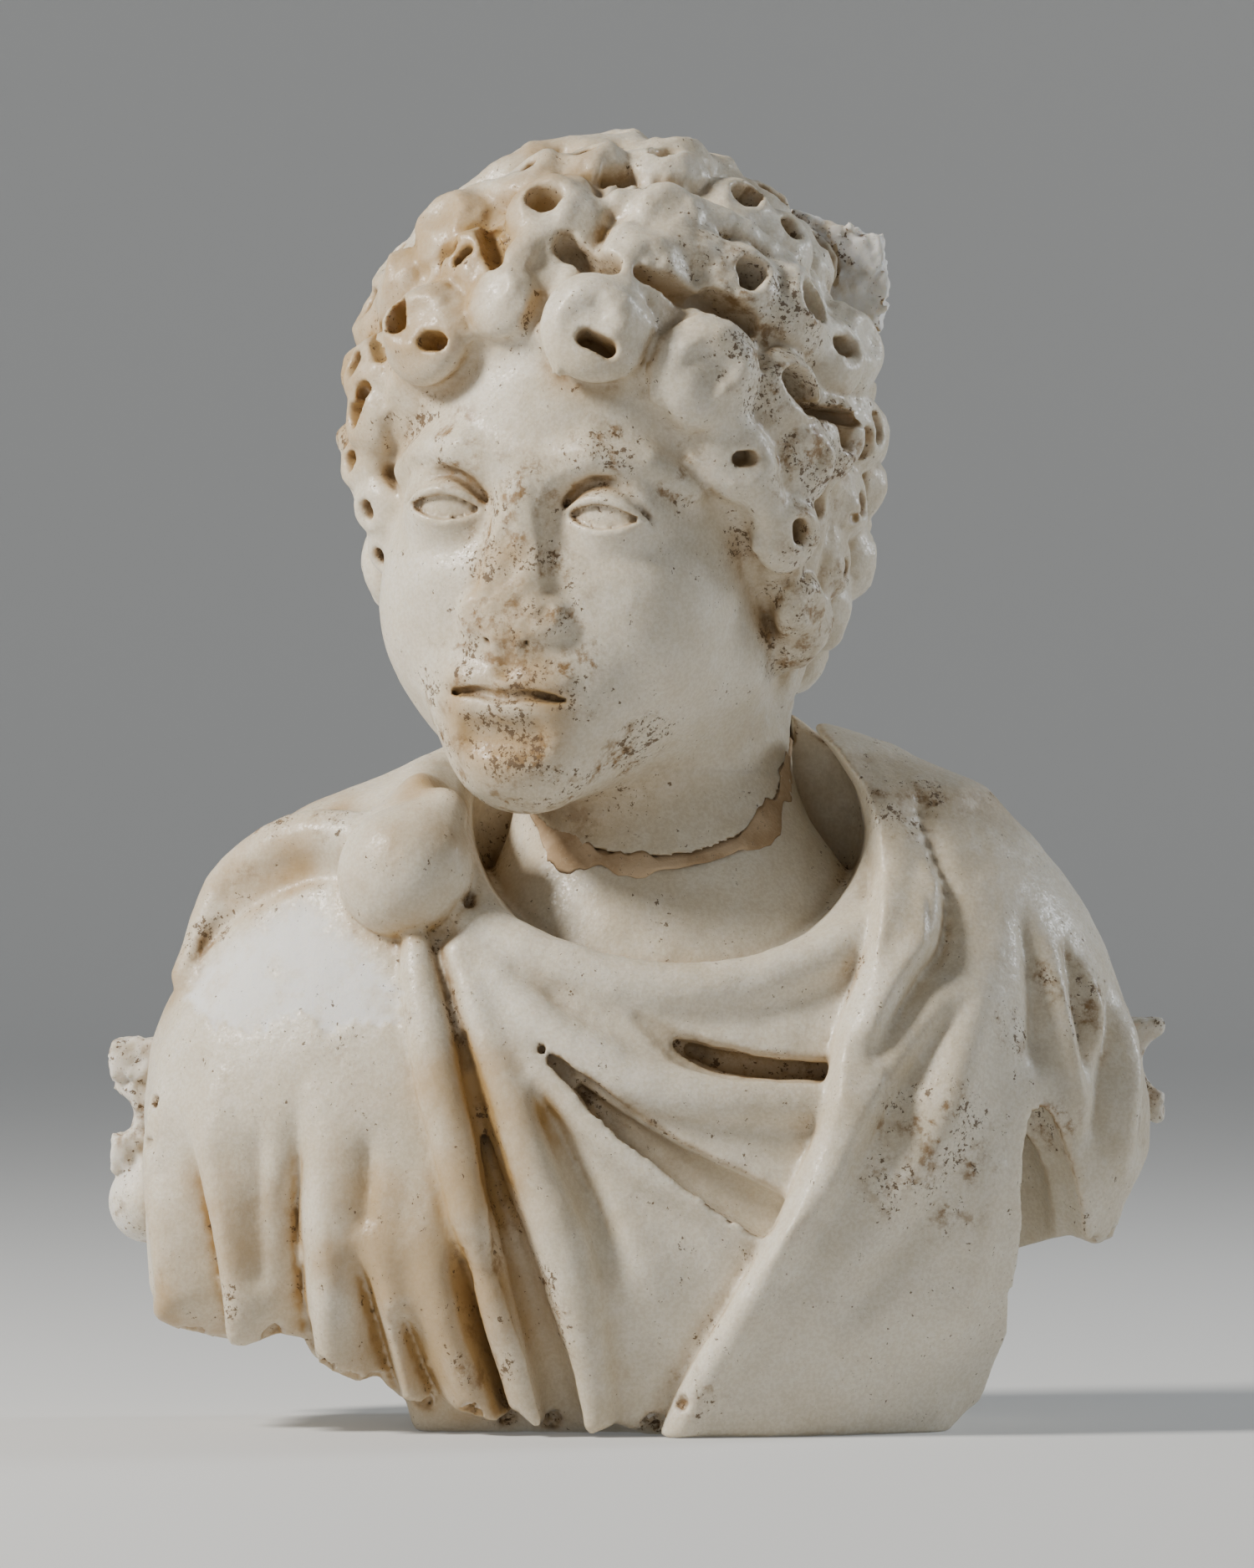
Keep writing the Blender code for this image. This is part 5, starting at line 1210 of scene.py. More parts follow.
def largest_body(points, quads):
    """The points and faces of the largest connected surface, without any crumbs beside it."""
    labels = np.arange(len(points))
    ends = np.vstack([quads[:, [0, 1]], quads[:, [1, 2]], quads[:, [2, 3]]])
    while True:
        lowest = labels[ends].min(1)
        merged = labels.copy()
        np.minimum.at(merged, ends[:, 0], lowest)
        np.minimum.at(merged, ends[:, 1], lowest)
        merged = merged[merged]
        if (merged == labels).all():
            break
        labels = merged
    kept = labels == np.bincount(labels).argmax()
    renumbered = np.cumsum(kept) - 1
    return points[kept], renumbered[quads[kept[quads[:, 0]]]]


def placed(name, data):
    """A new object of the scene, made of this data."""
    obj = bpy.data.objects.new(name, data)
    bpy.context.scene.collection.objects.link(obj)
    return obj


def smooth_mesh(made, name):
    """A smooth mesh of what was made, with its faces outward."""
    bmesh.ops.recalc_face_normals(made, faces=made.faces)
    mesh = bpy.data.meshes.new(name)
    made.to_mesh(mesh)
    made.free()
    mesh.shade_smooth()
    return mesh


def meshed(name, grid, low, step):
    """A mesh object of the surface where the grid's distances are zero."""
    volume = openvdb.FloatGrid(FAR)
    volume.copyFromArray(grid)
    points, _, quads = volume.convertToPolygons(0.0, 0.0)
    points, quads = largest_body(np.array(points, float), np.array(quads, np.int64))
    mesh = bpy.data.meshes.new(name)
    mesh.from_pydata(((points * step + np.array(low, float)) * MM).tolist(), [], quads.tolist())
    return placed(name, mesh)


# Wear and damage, finer than the solids have

# The rubbed patch on the near shoulder: its corners in the front view, and how far it is worn down.
SHOULDER_PATCH = np.array([
    (-92, 87), (-87, 97), (-78, 103.5), (-72, 108.5), (-66, 109), (-62, 107), (-57.5, 101.5),
    (-51, 97.5), (-47, 88), (-47, 82), (-52.5, 83), (-59.5, 82), (-63.5, 80.5), (-65.5, 84.5),
    (-71.5, 84.5), (-75, 80), (-82, 82), (-86, 81), (-87.5, 85),
])
PATCH_DEPTH = 0.5


def patch_share(points):
    """1 in the rubbed patch on the near shoulder, 0 outside its jagged border."""
    x, z = points[:, 0], points[:, 2]
    x = x + 0.6 * np.sin(z * 0.9) + 0.4 * np.sin(z * 2.3 + 1)
    z = z + 0.6 * np.sin(x * 0.7 + 0.4) + 0.5 * np.sin(x * 1.9) + 0.3 * np.sin(x * 4.1)
    inside = np.zeros(len(points), bool)
    nearest = np.full(len(points), 1e9)
    for (ax, az), (bx, bz) in zip(SHOULDER_PATCH, np.roll(SHOULDER_PATCH, -1, 0)):
        wide, tall = bx - ax, bz - az
        inside ^= ((az > z) != (bz > z)) & (x < wide * (z - az) / (tall + 1e-9) + ax)
        share = np.clip(((x - ax) * wide + (z - az) * tall) / (wide**2 + tall**2), 0, 1)
        nearest = np.minimum(nearest, np.hypot(x - ax - share * wide, z - az - share * tall))
    front = 1 - smoothstep(-8.0, 4.0, points[:, 1])
    signed = np.where(inside, nearest, -nearest)
    # Crisp along its lower border and faint at the top.
    rim = 0.9 + 5.0 * smoothstep(86.0, 98.0, points[:, 2])
    return smoothstep(0.0, 1.0, (signed + 0.3) / rim) * front


# Chips knocked off the edges, by their place in the front view: x, z, radius.
BUST_CHIPS = (
    (-90, 19, 3.2), (-84, 17.5, 2.2), (-73, 20, 2.6), (-63, 13, 3.6), (-57.5, 10.5, 3.0),
    (-52.5, 10.5, 2.4), (-43, 6.4, 2.6), (-33, 4.5, 2.6), (-26, 3, 2.0), (-17, 2.6, 2.6), (4, 2, 3.0),
    (9, 7, 1.8), (2, 0, 2.6), (97, 39, 2.4), (92, 37.5, 2.2), (103, 52, 2.2), (106, 60, 2.0),
    (101, 88, 2.0), (98, 94, 1.6), (-98, 66, 2.0), (-99, 58, 1.6),
)
HEAD_CHIPS = ((49, 206, 1.6), (45, 185, 1.4), (-55, 210, 1.5), (37, 250, 1.4))
CHIP_SOFT = 0.4


def front_spot(field, x, z):
    """Where the front view first meets a field at x and z."""
    ys = np.arange(-75.0, 60.0, 0.4)
    line = Block(np.column_stack([np.full_like(ys, x), ys, np.full_like(ys, z)]))
    field(line)
    inside = np.flatnonzero(line.distance < 0)
    return line.points[inside[0]] if len(inside) else line.points[np.argmin(line.distance)]


class Chip:
    """A small shell-shaped break."""

    def __init__(self, spot, radius):
        self.spot = np.array(spot, float)
        self.radius = radius
        self.low = self.spot - radius * 1.4
        self.high = self.spot + radius * 1.4

    def distance(self, points):
        offset = points - self.spot
        return length(offset * (1.0, 0.8, 1.1)) - self.radius * (1 + 0.25 * uneven(points, 2.2))


def head_in_bust(block):
    """The head's field on points of the bust's frame."""
    inner = Block(bust_to_head(block.points), block.spare)
    head_field(inner)
    block.distance = inner.distance


BUST_BREAKS = [Chip(front_spot(bust_field, x, z), radius) for x, z, radius in BUST_CHIPS]
HEAD_BREAKS = [
    Chip(bust_to_head(front_spot(head_in_bust, x, z)), radius) for x, z, radius in HEAD_CHIPS
]


def hairline_side(points):
    """How far behind the hair's edge points of the head's frame are."""
    return points[:, 1] - np.interp(points[:, 2], HAIRLINE[:, 0], HAIRLINE[:, 1])


def wear(block, chips, *swells):
    """Makes the surface uneven, by a height and a size each, and knocks the chips off."""
    for height, size in swells:
        block.distance = block.distance - height * uneven(block.points, size)
    for chip in chips:
        block.cut(chip, CHIP_SOFT)


def fine_bust(block):
    bust_field(block)
    block.distance = block.distance + PATCH_DEPTH * patch_share(block.points)
    wear(block, BUST_BREAKS, (0.09, 9.0), (0.05, 3.4))
    block.distance = np.maximum(block.distance, -block.points[:, 2])


def fine_head(block):
    head_field(block)
    hairy = smoothstep(-3.0, 3.0, hairline_side(block.points))
    wear(block, HEAD_BREAKS, (0.05 + 0.22 * hairy, 8.0), (0.03 + 0.10 * hairy, 3.2))


# The finished pieces and the masks that their marble is painted by

# How far out of the surface a hole and a valley are felt for.
HOLLOW_REACH = 2.4
SHADE_REACH = 5.0


class Probe:
    """Reads distances back from a sampled grid, between its samples."""

    def __init__(self, grid, low, step):
        self.grid, self.low, self.step = grid, np.array(low, float), step

    def distance(self, points):
        spots = np.clip((points - self.low) / self.step, 0, np.array(self.grid.shape) - 1.001)
        cell = spots.astype(int)
        share = spots - cell
        total = np.zeros(len(points))
        for corner in np.ndindex(2, 2, 2):
            weight = np.prod(np.where(np.array(corner), share, 1 - share), 1)
            i, j, k = (cell + corner).T
            total += weight * np.clip(self.grid[i, j, k], -6.0, 6.0)
        return total


def hollowness(probe, points, normals, reach):
    """0 on open ground and 1 deep in a hole, felt by probing this far out of the surface."""
    felt = [probe.distance(points + normals * out) / out for out in (reach, 0.6 * reach)]
    return (0.86 - np.mean(felt, 0)) * 1.35


def set_masks(mesh, **masks):
    for name, values in masks.items():
        attribute = mesh.attributes.new(name, "FLOAT", "POINT")
        attribute.data.foreach_set("value", np.clip(values, 0.0, 1.0).astype(np.float32))


def fine_piece(name, field, low, high, step, to_bust=None):
    """A carved piece with the masks of its hollows, and its points in the frame it was carved in."""
    grid = sampled(field, low, high, step)
    obj = meshed(name, grid, low, step)
    have = sum(len(face.vertices) - 2 for face in obj.data.polygons)
    if have > MOST_TRIANGLES:
        modifier = obj.modifiers.new("thin", "DECIMATE")
        modifier.ratio = MOST_TRIANGLES / have
        thin = bpy.data.meshes.new_from_object(obj.evaluated_get(bpy.context.evaluated_depsgraph_get()))
        obj.modifiers.clear()
        obj.data = thin
        thin.name = name
    mesh = obj.data
    points, normals = np.empty((2, len(mesh.vertices) * 3))
    mesh.vertices.foreach_get("co", points)
    mesh.vertices.foreach_get("normal", normals)
    points, normals = points.reshape(-1, 3) / MM, normals.reshape(-1, 3)
    probe = Probe(grid, low, step)
    set_masks(
        mesh,
        hollow=hollowness(probe, points, normals, HOLLOW_REACH),
        shade=hollowness(probe, points, normals, SHADE_REACH),
    )
    if to_bust:
        mesh.vertices.foreach_set("co", (to_bust(points) * MM).ravel())
    mesh.shade_smooth()
    mesh.update()
    return obj, points


def spread(points, spots):
    """The most that any spot (x, y, z, radius) covers of each point, soft at its rim."""
    share = np.zeros(len(points))
    for x, y, z, radius in spots:
        away = length(points - (x, y, z))
        share = np.maximum(share, 1 - smoothstep(0.55 * radius, radius, away))
    return share


def chip_share(points, chips):
    return spread(points, [(*chip.spot, chip.radius * 1.15) for chip in chips])


# Where the photograph's honey patina, dark soil and white breaks lie: x, y, z, radius.
BUST_HONEY = (
    (-60, -45, 36, 42), (-86, -30, 34, 26), (-40, -50, 18, 30), (-76, -10, 120, 26), (-95, 0, 96, 24),
    (-48, -36, 112, 18), (-30, -30, 128, 26), (-30, -52, 60, 26),
)
BUST_SOIL = (
    (-73, -15, 124, 9), (-62, -24, 122, 7), (-83, -22, 110, 9), (-60, -48, 78, 9), (-49, -46, 84, 5),
    (-70, -50, 76, 8), (-77, -24, 108, 7), (-87, -14, 98, 8), (-67, -30, 112, 7), (-32, -50, 36, 7),
    (-21, -52, 32, 8), (-14, -50, 22, 8), (-30, -50, 14, 8), (76, -40, 82, 7), (92, -28, 84, 12),
    (87, -30, 92, 10), (53, -30, 126, 9), (60, -24, 132, 8), (84, -35, 62, 8), (100, -20, 62, 8),
    (46, -45, 60, 5), (12, -48, 10, 8), (-86, -45, 26, 12), (-72, -46, 20, 9), (-96, -36, 30, 9),
    (60, -46, 56, 20), (-28, -30, 100, 7),
)
HEAD_SOIL = (
    (0, -52, -30, 16), (-12, -46, -38, 12), (12, -46, -36, 12), (0, -50, -50, 14), (-12, -42, -54, 12),
    (12, -40, -56, 12), (0, -50, 0, 11), (-16, -44, 8, 11), (16, -44, 8, 11), (26, -36, 6, 11),
    (-24, -38, 8, 10), (-4, -50, -12, 11), (6, -50, -20, 13), (0, -42, -62, 16), (20, -32, -50, 12),
    (48, -24, 34, 24), (54, -10, 4, 24), (38, -34, 56, 20), (50, 0, -26, 20), (26, -30, 74, 16),
    (-50, -14, 10, 16),
)
HEAD_HONEY = (
    (-30, -44, 46, 34), (-46, -20, 20, 26), (-20, -20, 70, 30), (0, -54, -20, 14), (0, -50, -44, 18),
)


def bust_piece():
    bust, points = fine_piece("bust_carving", fine_bust, BUST_LOW, BUST_HIGH, BUST_STEP)
    ends = smoothstep(97.0, 101.0, np.abs(points[:, 0])) * smoothstep(4.0, 9.0, points[:, 1])
    fresh = np.maximum(patch_share(points), chip_share(points, BUST_BREAKS))
    off_break = np.maximum(np.abs(Above(0.0).distance(points)) - 2.0, 0)
    near_neck = 1 - smoothstep(1.0, 4.5, np.abs(flesh(points)) + off_break)
    set_masks(
        bust.data,
        fresh=np.maximum(fresh, 0.55 * ends),
        honey=spread(points, BUST_HONEY),
        soil=np.maximum(spread(points, BUST_SOIL), 0.7 * ends),
        deposit=0.8 * near_neck,
    )
    return bust


def head_piece():
    head, points = fine_piece("head_carving", fine_head, HEAD_LOW, HEAD_HIGH, HEAD_STEP, head_to_bust)
    in_bust = head_to_bust(points)
    stump = 1 - smoothstep(0.4, 1.6, STUMP.distance(in_bust))
    hairy = smoothstep(-2.0, 4.0, hairline_side(points))
    off_break = np.abs(Above(FILL_THICKNESS).distance(in_bust))
    near_neck = (1 - smoothstep(0.5, 3.5, off_break)) * (1 - smoothstep(1.0, 6.0, flesh(in_bust)))
    set_masks(
        head.data,
        fresh=np.maximum(stump, chip_share(points, HEAD_BREAKS)),
        honey=spread(points, HEAD_HONEY),
        soil=spread(points, HEAD_SOIL),
        deposit=np.maximum(hairy, near_neck),
    )
    return head


# Where the filler is smeared over the marble: bearing in degrees from +X, half width, and how far.
SMEARS = (
    (236, 16, 2.6), (262, 10, 1.2), (312, 14, 1.8), (338, 12, 2.4), (80, 30, 1.0), (150, 24, 1.4),
)
# The ring's rows: their share of the way up, how far the smear moves them, and how far out they are.
RING_ROWS = (
    (0.0, 0, -6.0), (0.0, 0, -0.3), (-0.05, 1, 0.05), (0.05, 0.8, 0.7), (0.5, 0, 1.3),
    (0.95, -0.8, 0.7), (1.05, -1, 0.05), (1.0, 0, -0.3), (1.0, 0, -6.0),
)
RING_COUNT = 240


def ring_row(bearings, lifts, outs):
    """Points round the neck, each this far above the break and this far out of the flesh."""
    reach = np.arange(18.0, 48.0, 0.1)
    row = []
    for bearing, lift, out in zip(bearings, lifts, outs):
        x = BREAK_MIDDLE[0] + reach * math.cos(bearing)
        y = BREAK_MIDDLE[1] + reach * math.sin(bearing)
        z = break_height(x, y) + lift
        past = np.flatnonzero(flesh(np.column_stack([x, y, z])) > out)[0]
        row.append((x[past], y[past], z[past]))
    return np.array(row)


def filler_piece():
    """The bed of filler, a ring that swells past the marble unevenly and is smeared over it in places."""
    bearings = np.linspace(0, 2 * math.pi, RING_COUNT, endpoint=False)
    smear = np.zeros(RING_COUNT)
    for middle, half, far in SMEARS:
        away = (np.degrees(bearings) - middle + 180) % 360 - 180
        smear = np.maximum(smear, far * (1 - smoothstep(0.3, 1.0, np.abs(away) / half)))
    ripple = sum(
        height * np.sin(bearings * waves + start)
        for height, waves, start in ((0.5, 23, 1), (0.3, 41, 0), (0.2, 67, 2))
    )
    smear = smear * (1 + 0.35 * ripple)
    bulge = 0.22 + 0.16 * np.sin(bearings * 7 + 1) + 0.12 * ripple
    thick = FILL_THICKNESS - 2 * GAP
    made = bmesh.new()
    loops = []
    for share, over, out in RING_ROWS:
        lifts = GAP + share * thick - over * smear + 0.12 * ripple * (out > 0)
        row = ring_row(bearings, lifts, bulge * out if out > 0 else np.full(RING_COUNT, out))
        ring = [made.verts.new(Vector(spot) * MM) for spot in row]
        loops.append([made.edges.new(pair) for pair in zip(ring, ring[1:] + ring[:1])])
    for lower, upper in zip(loops, loops[1:]):
        bmesh.ops.bridge_loops(made, edges=lower + upper)
    bmesh.ops.holes_fill(made, edges=loops[0] + loops[-1], sides=RING_COUNT)
    return placed("filler_ring", smooth_mesh(made, "filler_ring"))


# Materials

STONE_DULL = (0.62, 0.54, 0.405, 1)
STONE_IVORY = (0.75, 0.69, 0.57, 1)
STONE_PALE = (0.82, 0.78, 0.69, 1)
STONE_GRAIN = (0.84, 0.81, 0.76, 1)
STONE_FRESH = (0.82, 0.81, 0.78, 1)
# Honey patina, also laid into the valleys as painted shade.
HONEY_PATINA_AND_SHADE = (0.42, 0.27, 0.11, 1)
# Dark brown for soil and for painted shade in the hollows.
HOLLOW_SOIL_AND_SHADE = (0.16, 0.10, 0.045, 1)
TAN_CRUST = (0.42, 0.29, 0.13, 1)
BROWN_STAIN = (0.25, 0.145, 0.055, 1)
DARK_CRUMB = (0.11, 0.062, 0.026, 1)
FILLER_BROWN = (0.40, 0.27, 0.15, 1)
FILLER_TAN = (0.56, 0.41, 0.26, 1)
FILLER_GRIT = (0.66, 0.52, 0.36, 1)
FILLER_SPECK = (0.12, 0.07, 0.03, 1)
PAPER_GREY = (0.62, 0.62, 0.61, 1)
PAPER_GLOW = (0.9, 0.95, 1.0, 1)
BUMP_DISTANCE = 0.0004


class Nodes:
    """Short calls to lay out a material's or a group's nodes."""

    def __init__(self, tree):
        self.tree = tree

    def add(self, kind, **settings):
        node = self.tree.nodes.new(kind)
        for name, value in settings.items():
            setattr(node, name, value)
        return node

    def put(self, socket, value):
        if isinstance(value, bpy.types.NodeSocket):
            self.tree.links.new(value, socket)
        else:
            socket.default_value = value

    def fill(self, inputs, values):
        """Puts values into the inputs that they name."""
        for name, value in values.items():
            self.put(inputs[name], value)

    def maths(self, operation, *values, clamp=False):
        """Joins the values from the left, two at a time."""
        result = values[0]
        for value in values[1:]:
            node = self.add("ShaderNodeMath", operation=operation, use_clamp=clamp)
            self.put(node.inputs[0], result)
            self.put(node.inputs[1], value)
            result = node.outputs[0]
        return result

    def times(self, *values):
        return self.maths("MULTIPLY", *values)

    def plus(self, *values, clamp=False):
        return self.maths("ADD", *values, clamp=clamp)

    def less(self, first, second):
        return self.maths("SUBTRACT", first, second)

    def mask(self, name):
        return self.add("ShaderNodeAttribute", attribute_name=name).outputs["Fac"]

    def where(self):
        return self.add("ShaderNodeTexCoord").outputs["Object"]

    def noise(self, where, scale, detail=3.0, roughness=0.55):
        node = self.add("ShaderNodeTexNoise")
        self.fill(node.inputs, {"Vector": where, "Scale": scale, "Detail": detail, "Roughness": roughness})
        return node.outputs["Fac"]

    def step(self, value, low, high):
        """0 below low, 1 above high, smooth between."""
        node = self.add("ShaderNodeMapRange", interpolation_type="SMOOTHSTEP")
        self.fill(node.inputs, {"Value": value, "From Min": low, "From Max": high})
        return node.outputs["Result"]

    def patches(self, where, scale, detail, roughness, low, high):
        """A noise with its middle range drawn out between 0 and 1."""
        return self.step(self.noise(where, scale, detail, roughness), low, high)

    def blend(self, share, under, over, kind="MIX"):
        node = self.add("ShaderNodeMix", data_type="RGBA", blend_type=kind)
        self.fill(node.inputs, {"Factor": share, "A": under, "B": over})
        return node.outputs["Result"]

    def crumbs(self, specks, density, scale):
        node = self.add("ShaderNodeGroup", node_tree=specks)
        self.fill(node.inputs, {"Density": density, "Scale": scale})
        return node.outputs["Mask"]

    def bump(self, height, strength):
        node = self.add("ShaderNodeBump")
        self.fill(node.inputs, {"Strength": strength, "Distance": BUMP_DISTANCE, "Height": height})
        return node.outputs["Normal"]


def speck_group():
    """Small dark crumbs of soil: a mask, thick where the density is high."""
    tree = bpy.data.node_groups.new("soil_specks", "ShaderNodeTree")
    for label, way, usual in (("Density", "INPUT", 0.3), ("Scale", "INPUT", 700.0), ("Mask", "OUTPUT", 0.0)):
        socket = tree.interface.new_socket(name=label, in_out=way, socket_type="NodeSocketFloat")
        socket.default_value = usual
    nodes = Nodes(tree)
    given = nodes.add("NodeGroupInput").outputs
    where = nodes.where()
    fine = nodes.noise(where, given["Scale"], 4.0, 0.68)
    patchy = nodes.times(nodes.patches(where, 95.0, 3.0, 0.6, 0.36, 0.60), given["Density"])
    over = nodes.less(fine, nodes.less(0.74, nodes.times(patchy, 0.18)))
    nodes.put(nodes.add("NodeGroupOutput").inputs["Mask"], nodes.step(over, 0.0, 0.02))
    return tree


def new_material(name):
    """A material with its nodes and the inputs of its shader."""
    material = bpy.data.materials.new(name)
    material.use_nodes = True
    return material, Nodes(material.node_tree), material.node_tree.nodes["Principled BSDF"].inputs


def marble_material(specks):
    material, nodes, shader = new_material("aged_marble_fine")
    where = nodes.where()
    masks = ("hollow", "shade", "fresh", "honey", "soil", "deposit")
    hollow, shade, fresh, honey, soil, deposit = (nodes.mask(name) for name in masks)

    # The stone: ivory, greyer and warmer by turns, with grains a little darker.
    mottle = nodes.noise(where, 160.0, 4.0, 0.6)
    colour = nodes.blend(nodes.patches(where, 24.0, 4.0, 0.55, 0.35, 0.65), STONE_DULL, STONE_IVORY)
    colour = nodes.blend(nodes.times(nodes.step(mottle, 0.4, 0.7), 0.35), colour, STONE_PALE)
    grain = nodes.times(nodes.patches(where, 1300.0, 2.0, 0.6, 0.38, 0.62), 0.6)
    colour = nodes.blend(grain, colour, STONE_GRAIN, "MULTIPLY")
    # Honey patina, strong in its own places; in the valleys the same honey colour is partly patina and
    # partly painted shade that deepens the folds.
    amber = nodes.times(nodes.patches(where, 40.0, 4.0, 0.6, 0.30, 0.62), honey, 0.75)
    valley = nodes.times(shade, nodes.plus(0.35, nodes.times(mottle, 0.6)))
    colour = nodes.blend(nodes.plus(amber, valley, clamp=True), colour, HONEY_PATINA_AND_SHADE)
    # White stone where it is freshly rubbed or broken.
    pale = nodes.times(fresh, nodes.step(mottle, 0.25, 0.55))
    colour = nodes.blend(nodes.times(pale, 0.9), colour, STONE_FRESH)
    # Soil and painted shade, dark brown, in the hollows, and the tan crust in the drill holes.
    dusty = nodes.patches(where, 240.0, 5.0, 0.65, 0.36, 0.62)
    depth = nodes.times(nodes.step(hollow, 0.30, 0.85), nodes.less(1.0, fresh))
    soil_and_shade = nodes.times(depth, nodes.plus(0.52, nodes.times(dusty, 0.46)))
    colour = nodes.blend(soil_and_shade, colour, HOLLOW_SOIL_AND_SHADE)
    clean = nodes.less(1.0, nodes.times(soil, 0.85))
    crust = nodes.times(nodes.step(hollow, 0.45, 0.8), deposit, clean, 0.8)
    colour = nodes.blend(crust, colour, TAN_CRUST)
    # Brown stains and dark crumbs.
    dirty = nodes.plus(soil, nodes.times(shade, 0.9), clamp=True)
    smeared = nodes.patches(where, 130.0, 5.0, 0.62, 0.42, 0.62)
    broken = nodes.patches(where, 300.0, 5.0, 0.7, 0.45, 0.62)
    colour = nodes.blend(nodes.times(smeared, dirty, broken, 0.95), colour, BROWN_STAIN)
    density = nodes.plus(
        nodes.times(soil, 0.5), nodes.times(hollow, 0.3), nodes.times(shade, 0.4), 0.45, clamp=True,
    )
    dark = nodes.maths("MAXIMUM", *[nodes.crumbs(specks, density, scale) for scale in (520.0, 1150.0)])
    colour = nodes.blend(nodes.times(dark, 0.85), colour, DARK_CRUMB)

    # The polish: crystals that catch the light, dull soil and painted shade in the hollows, chalky breaks.
    crystal = nodes.add("ShaderNodeTexVoronoi", feature="F1")
    nodes.fill(crystal.inputs, {"Vector": where, "Scale": 1700.0})
    split = nodes.add("ShaderNodeSeparateColor")
    nodes.put(split.inputs["Color"], crystal.outputs["Color"])
    rough = nodes.plus(
        0.29, nodes.times(split.outputs[0], 0.30), nodes.times(soil_and_shade, 0.35), nodes.times(pale, 0.45),
        nodes.times(dark, 0.3), clamp=True,
    )
    height = nodes.plus(
        nodes.times(nodes.noise(where, 420.0, 5.0, 0.6), 0.55), nodes.times(split.outputs[1], 0.16),
        nodes.times(dark, 0.35), nodes.times(nodes.noise(where, 120.0, 3.0, 0.5), 0.9),
    )
    nodes.fill(shader, {
        "Base Color": colour, "Roughness": rough, "Normal": nodes.bump(height, 0.75), "IOR": 1.5,
        "Subsurface Weight": 0.28, "Subsurface Radius": (1.0, 0.75, 0.45), "Subsurface Scale": 0.003,
    })
    return material


def filler_material(specks):
    material, nodes, shader = new_material("tan_filler_fine")
    where = nodes.where()
    grit = nodes.noise(where, 900.0, 5.0, 0.65)
    broad = nodes.noise(where, 120.0, 3.0, 0.5)
    colour = nodes.blend(nodes.step(broad, 0.35, 0.65), FILLER_BROWN, FILLER_TAN)
    colour = nodes.blend(nodes.times(nodes.step(grit, 0.5, 0.75), 0.5), colour, FILLER_GRIT)
    colour = nodes.blend(nodes.times(nodes.crumbs(specks, 0.6, 900.0), 0.6), colour, FILLER_SPECK)
    nodes.fill(shader, {
        "Base Color": colour, "Roughness": nodes.plus(0.72, nodes.times(grit, 0.2)),
        "Normal": nodes.bump(nodes.plus(grit, broad), 0.7),
    })
    return material


# The studio

# Its paper: how far out it lies flat, the radius of its curve, and its height, in metres.
PAPER_RADIUS = 2.6
PAPER_CURVE = 0.9
PAPER_HEIGHT = 3.2
PAPER_SIDES = 72


def studio_floor():
    """A pale round floor that curves up into a plain wall on every side."""
    made = bmesh.new()
    outline = [(0.0, 0.0), (0.8, 0.0)]
    for angle in np.linspace(0.0, math.pi / 2, 12):
        outline.append((PAPER_RADIUS + PAPER_CURVE * math.sin(angle), PAPER_CURVE * (1 - math.cos(angle))))
    outline.append((PAPER_RADIUS + PAPER_CURVE, PAPER_HEIGHT))
    profile = [made.verts.new((radius, 0.0, height)) for radius, height in outline]
    edges = [made.edges.new(pair) for pair in zip(profile, profile[1:])]
    bmesh.ops.spin(
        made, geom=profile + edges, cent=(0, 0, 0), axis=(0, 0, 1), angle=2 * math.pi,
        steps=PAPER_SIDES, use_merge=True,
    )
    bmesh.ops.remove_doubles(made, verts=made.verts, dist=0.0001)
    floor = placed("studio_floor", smooth_mesh(made, "studio_floor"))
    material, nodes, shader = new_material("studio_paper")
    nodes.fill(shader, {
        "Base Color": PAPER_GREY, "Roughness": 0.9,
        "Emission Color": PAPER_GLOW, "Emission Strength": 0.09,
    })
    floor.data.materials.append(material)


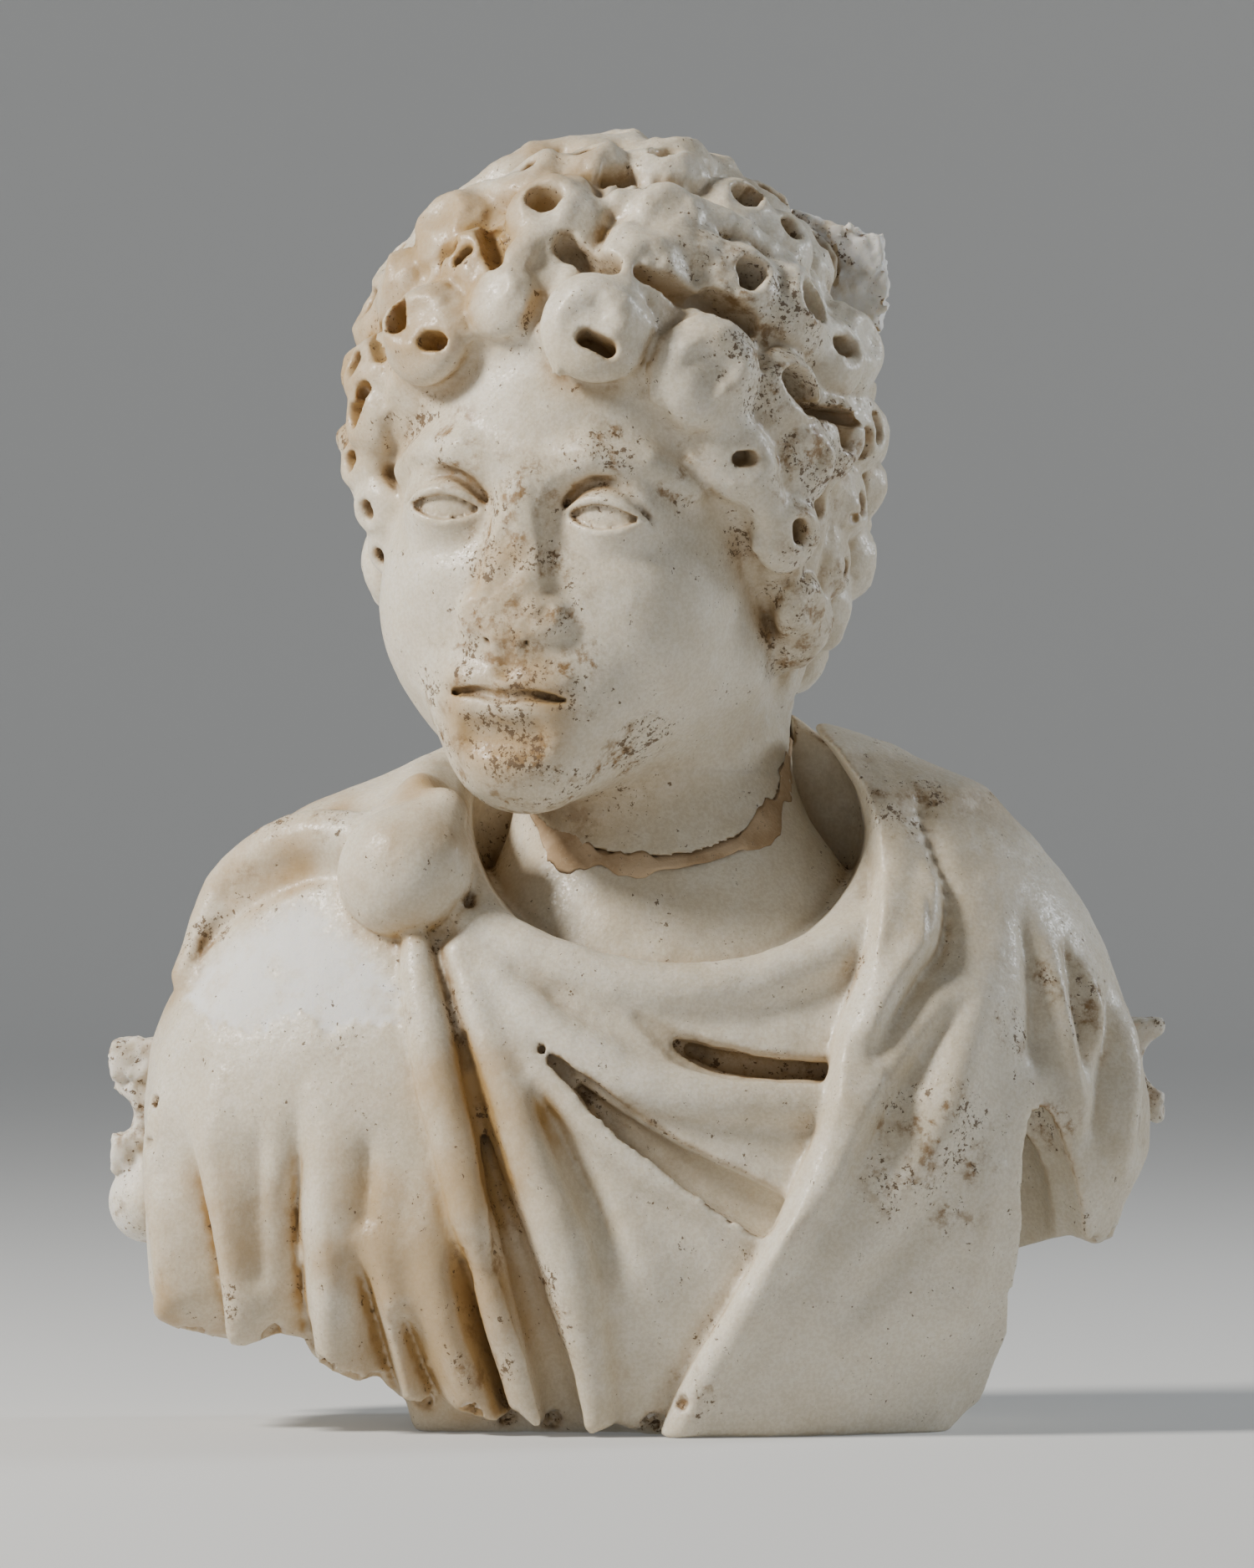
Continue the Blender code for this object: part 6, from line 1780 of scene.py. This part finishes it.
# The lamps, which all face the bust: name, place, size, power and colour.
LAMPS = (
    ("key", (-1.05, -0.45, 0.95), 0.3, 30.0, (1.0, 0.96, 0.90)),
    ("fill", (1.2, -0.9, 0.35), 0.9, 0.4, (0.9, 0.95, 1.0)),
    ("side", (1.05, 0.35, 0.6), 0.35, 6.0, (0.88, 0.94, 1.0)),
)
LAMP_AIM = Vector((0.0, 0.0, 0.15))
SKY_COLOUR = (0.8, 0.82, 0.85, 1)
SKY_STRENGTH = 0.07


def studio_light():
    for name, place, size, energy, colour in LAMPS:
        lamp = bpy.data.lights.new(name, "AREA")
        lamp.shape = "DISK"
        lamp.size = size
        lamp.energy = energy
        lamp.color = colour
        obj = placed(name, lamp)
        obj.location = place
        obj.rotation_mode = "QUATERNION"
        obj.rotation_quaternion = (LAMP_AIM - Vector(place)).to_track_quat("-Z", "Y")
    world = bpy.data.worlds.new("studio")
    world.use_nodes = True
    sky = world.node_tree.nodes["Background"].inputs
    sky["Color"].default_value = SKY_COLOUR
    sky["Strength"].default_value = SKY_STRENGTH
    bpy.context.scene.world = world


# The photograph's frame: its middle and half its height on the bust's own plane, in millimetres.
VIEW_MIDDLE = (-1.7, 130.8)
VIEW_HALF_HEIGHT = 160.8
VIEW_DISTANCE = 1.95


def camera():
    data = bpy.data.cameras.new("camera")
    data.sensor_width = 36.0
    data.lens = data.sensor_width / 2 / (VIEW_HALF_HEIGHT * MM / VIEW_DISTANCE)
    data.clip_start = 0.05
    obj = placed("camera", data)
    obj.location = (VIEW_MIDDLE[0] * MM, -VIEW_DISTANCE, VIEW_MIDDLE[1] * MM)
    obj.rotation_euler = (math.pi / 2, 0.0, 0.0)
    bpy.context.scene.camera = obj


specks = speck_group()
marble = marble_material(specks)
filler = filler_material(specks)
for piece, node, slot, material in (
    (bust_piece(), "draped_bust", "aged_marble", marble),
    (head_piece(), "head", "aged_marble", marble),
    (filler_piece(), "neck_join_filler", "tan_filler", filler),
):
    piece.data.materials.clear()
    piece.data.materials.append(material)
    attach(piece, "root")
    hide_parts(node)
studio_floor()
studio_light()
camera()
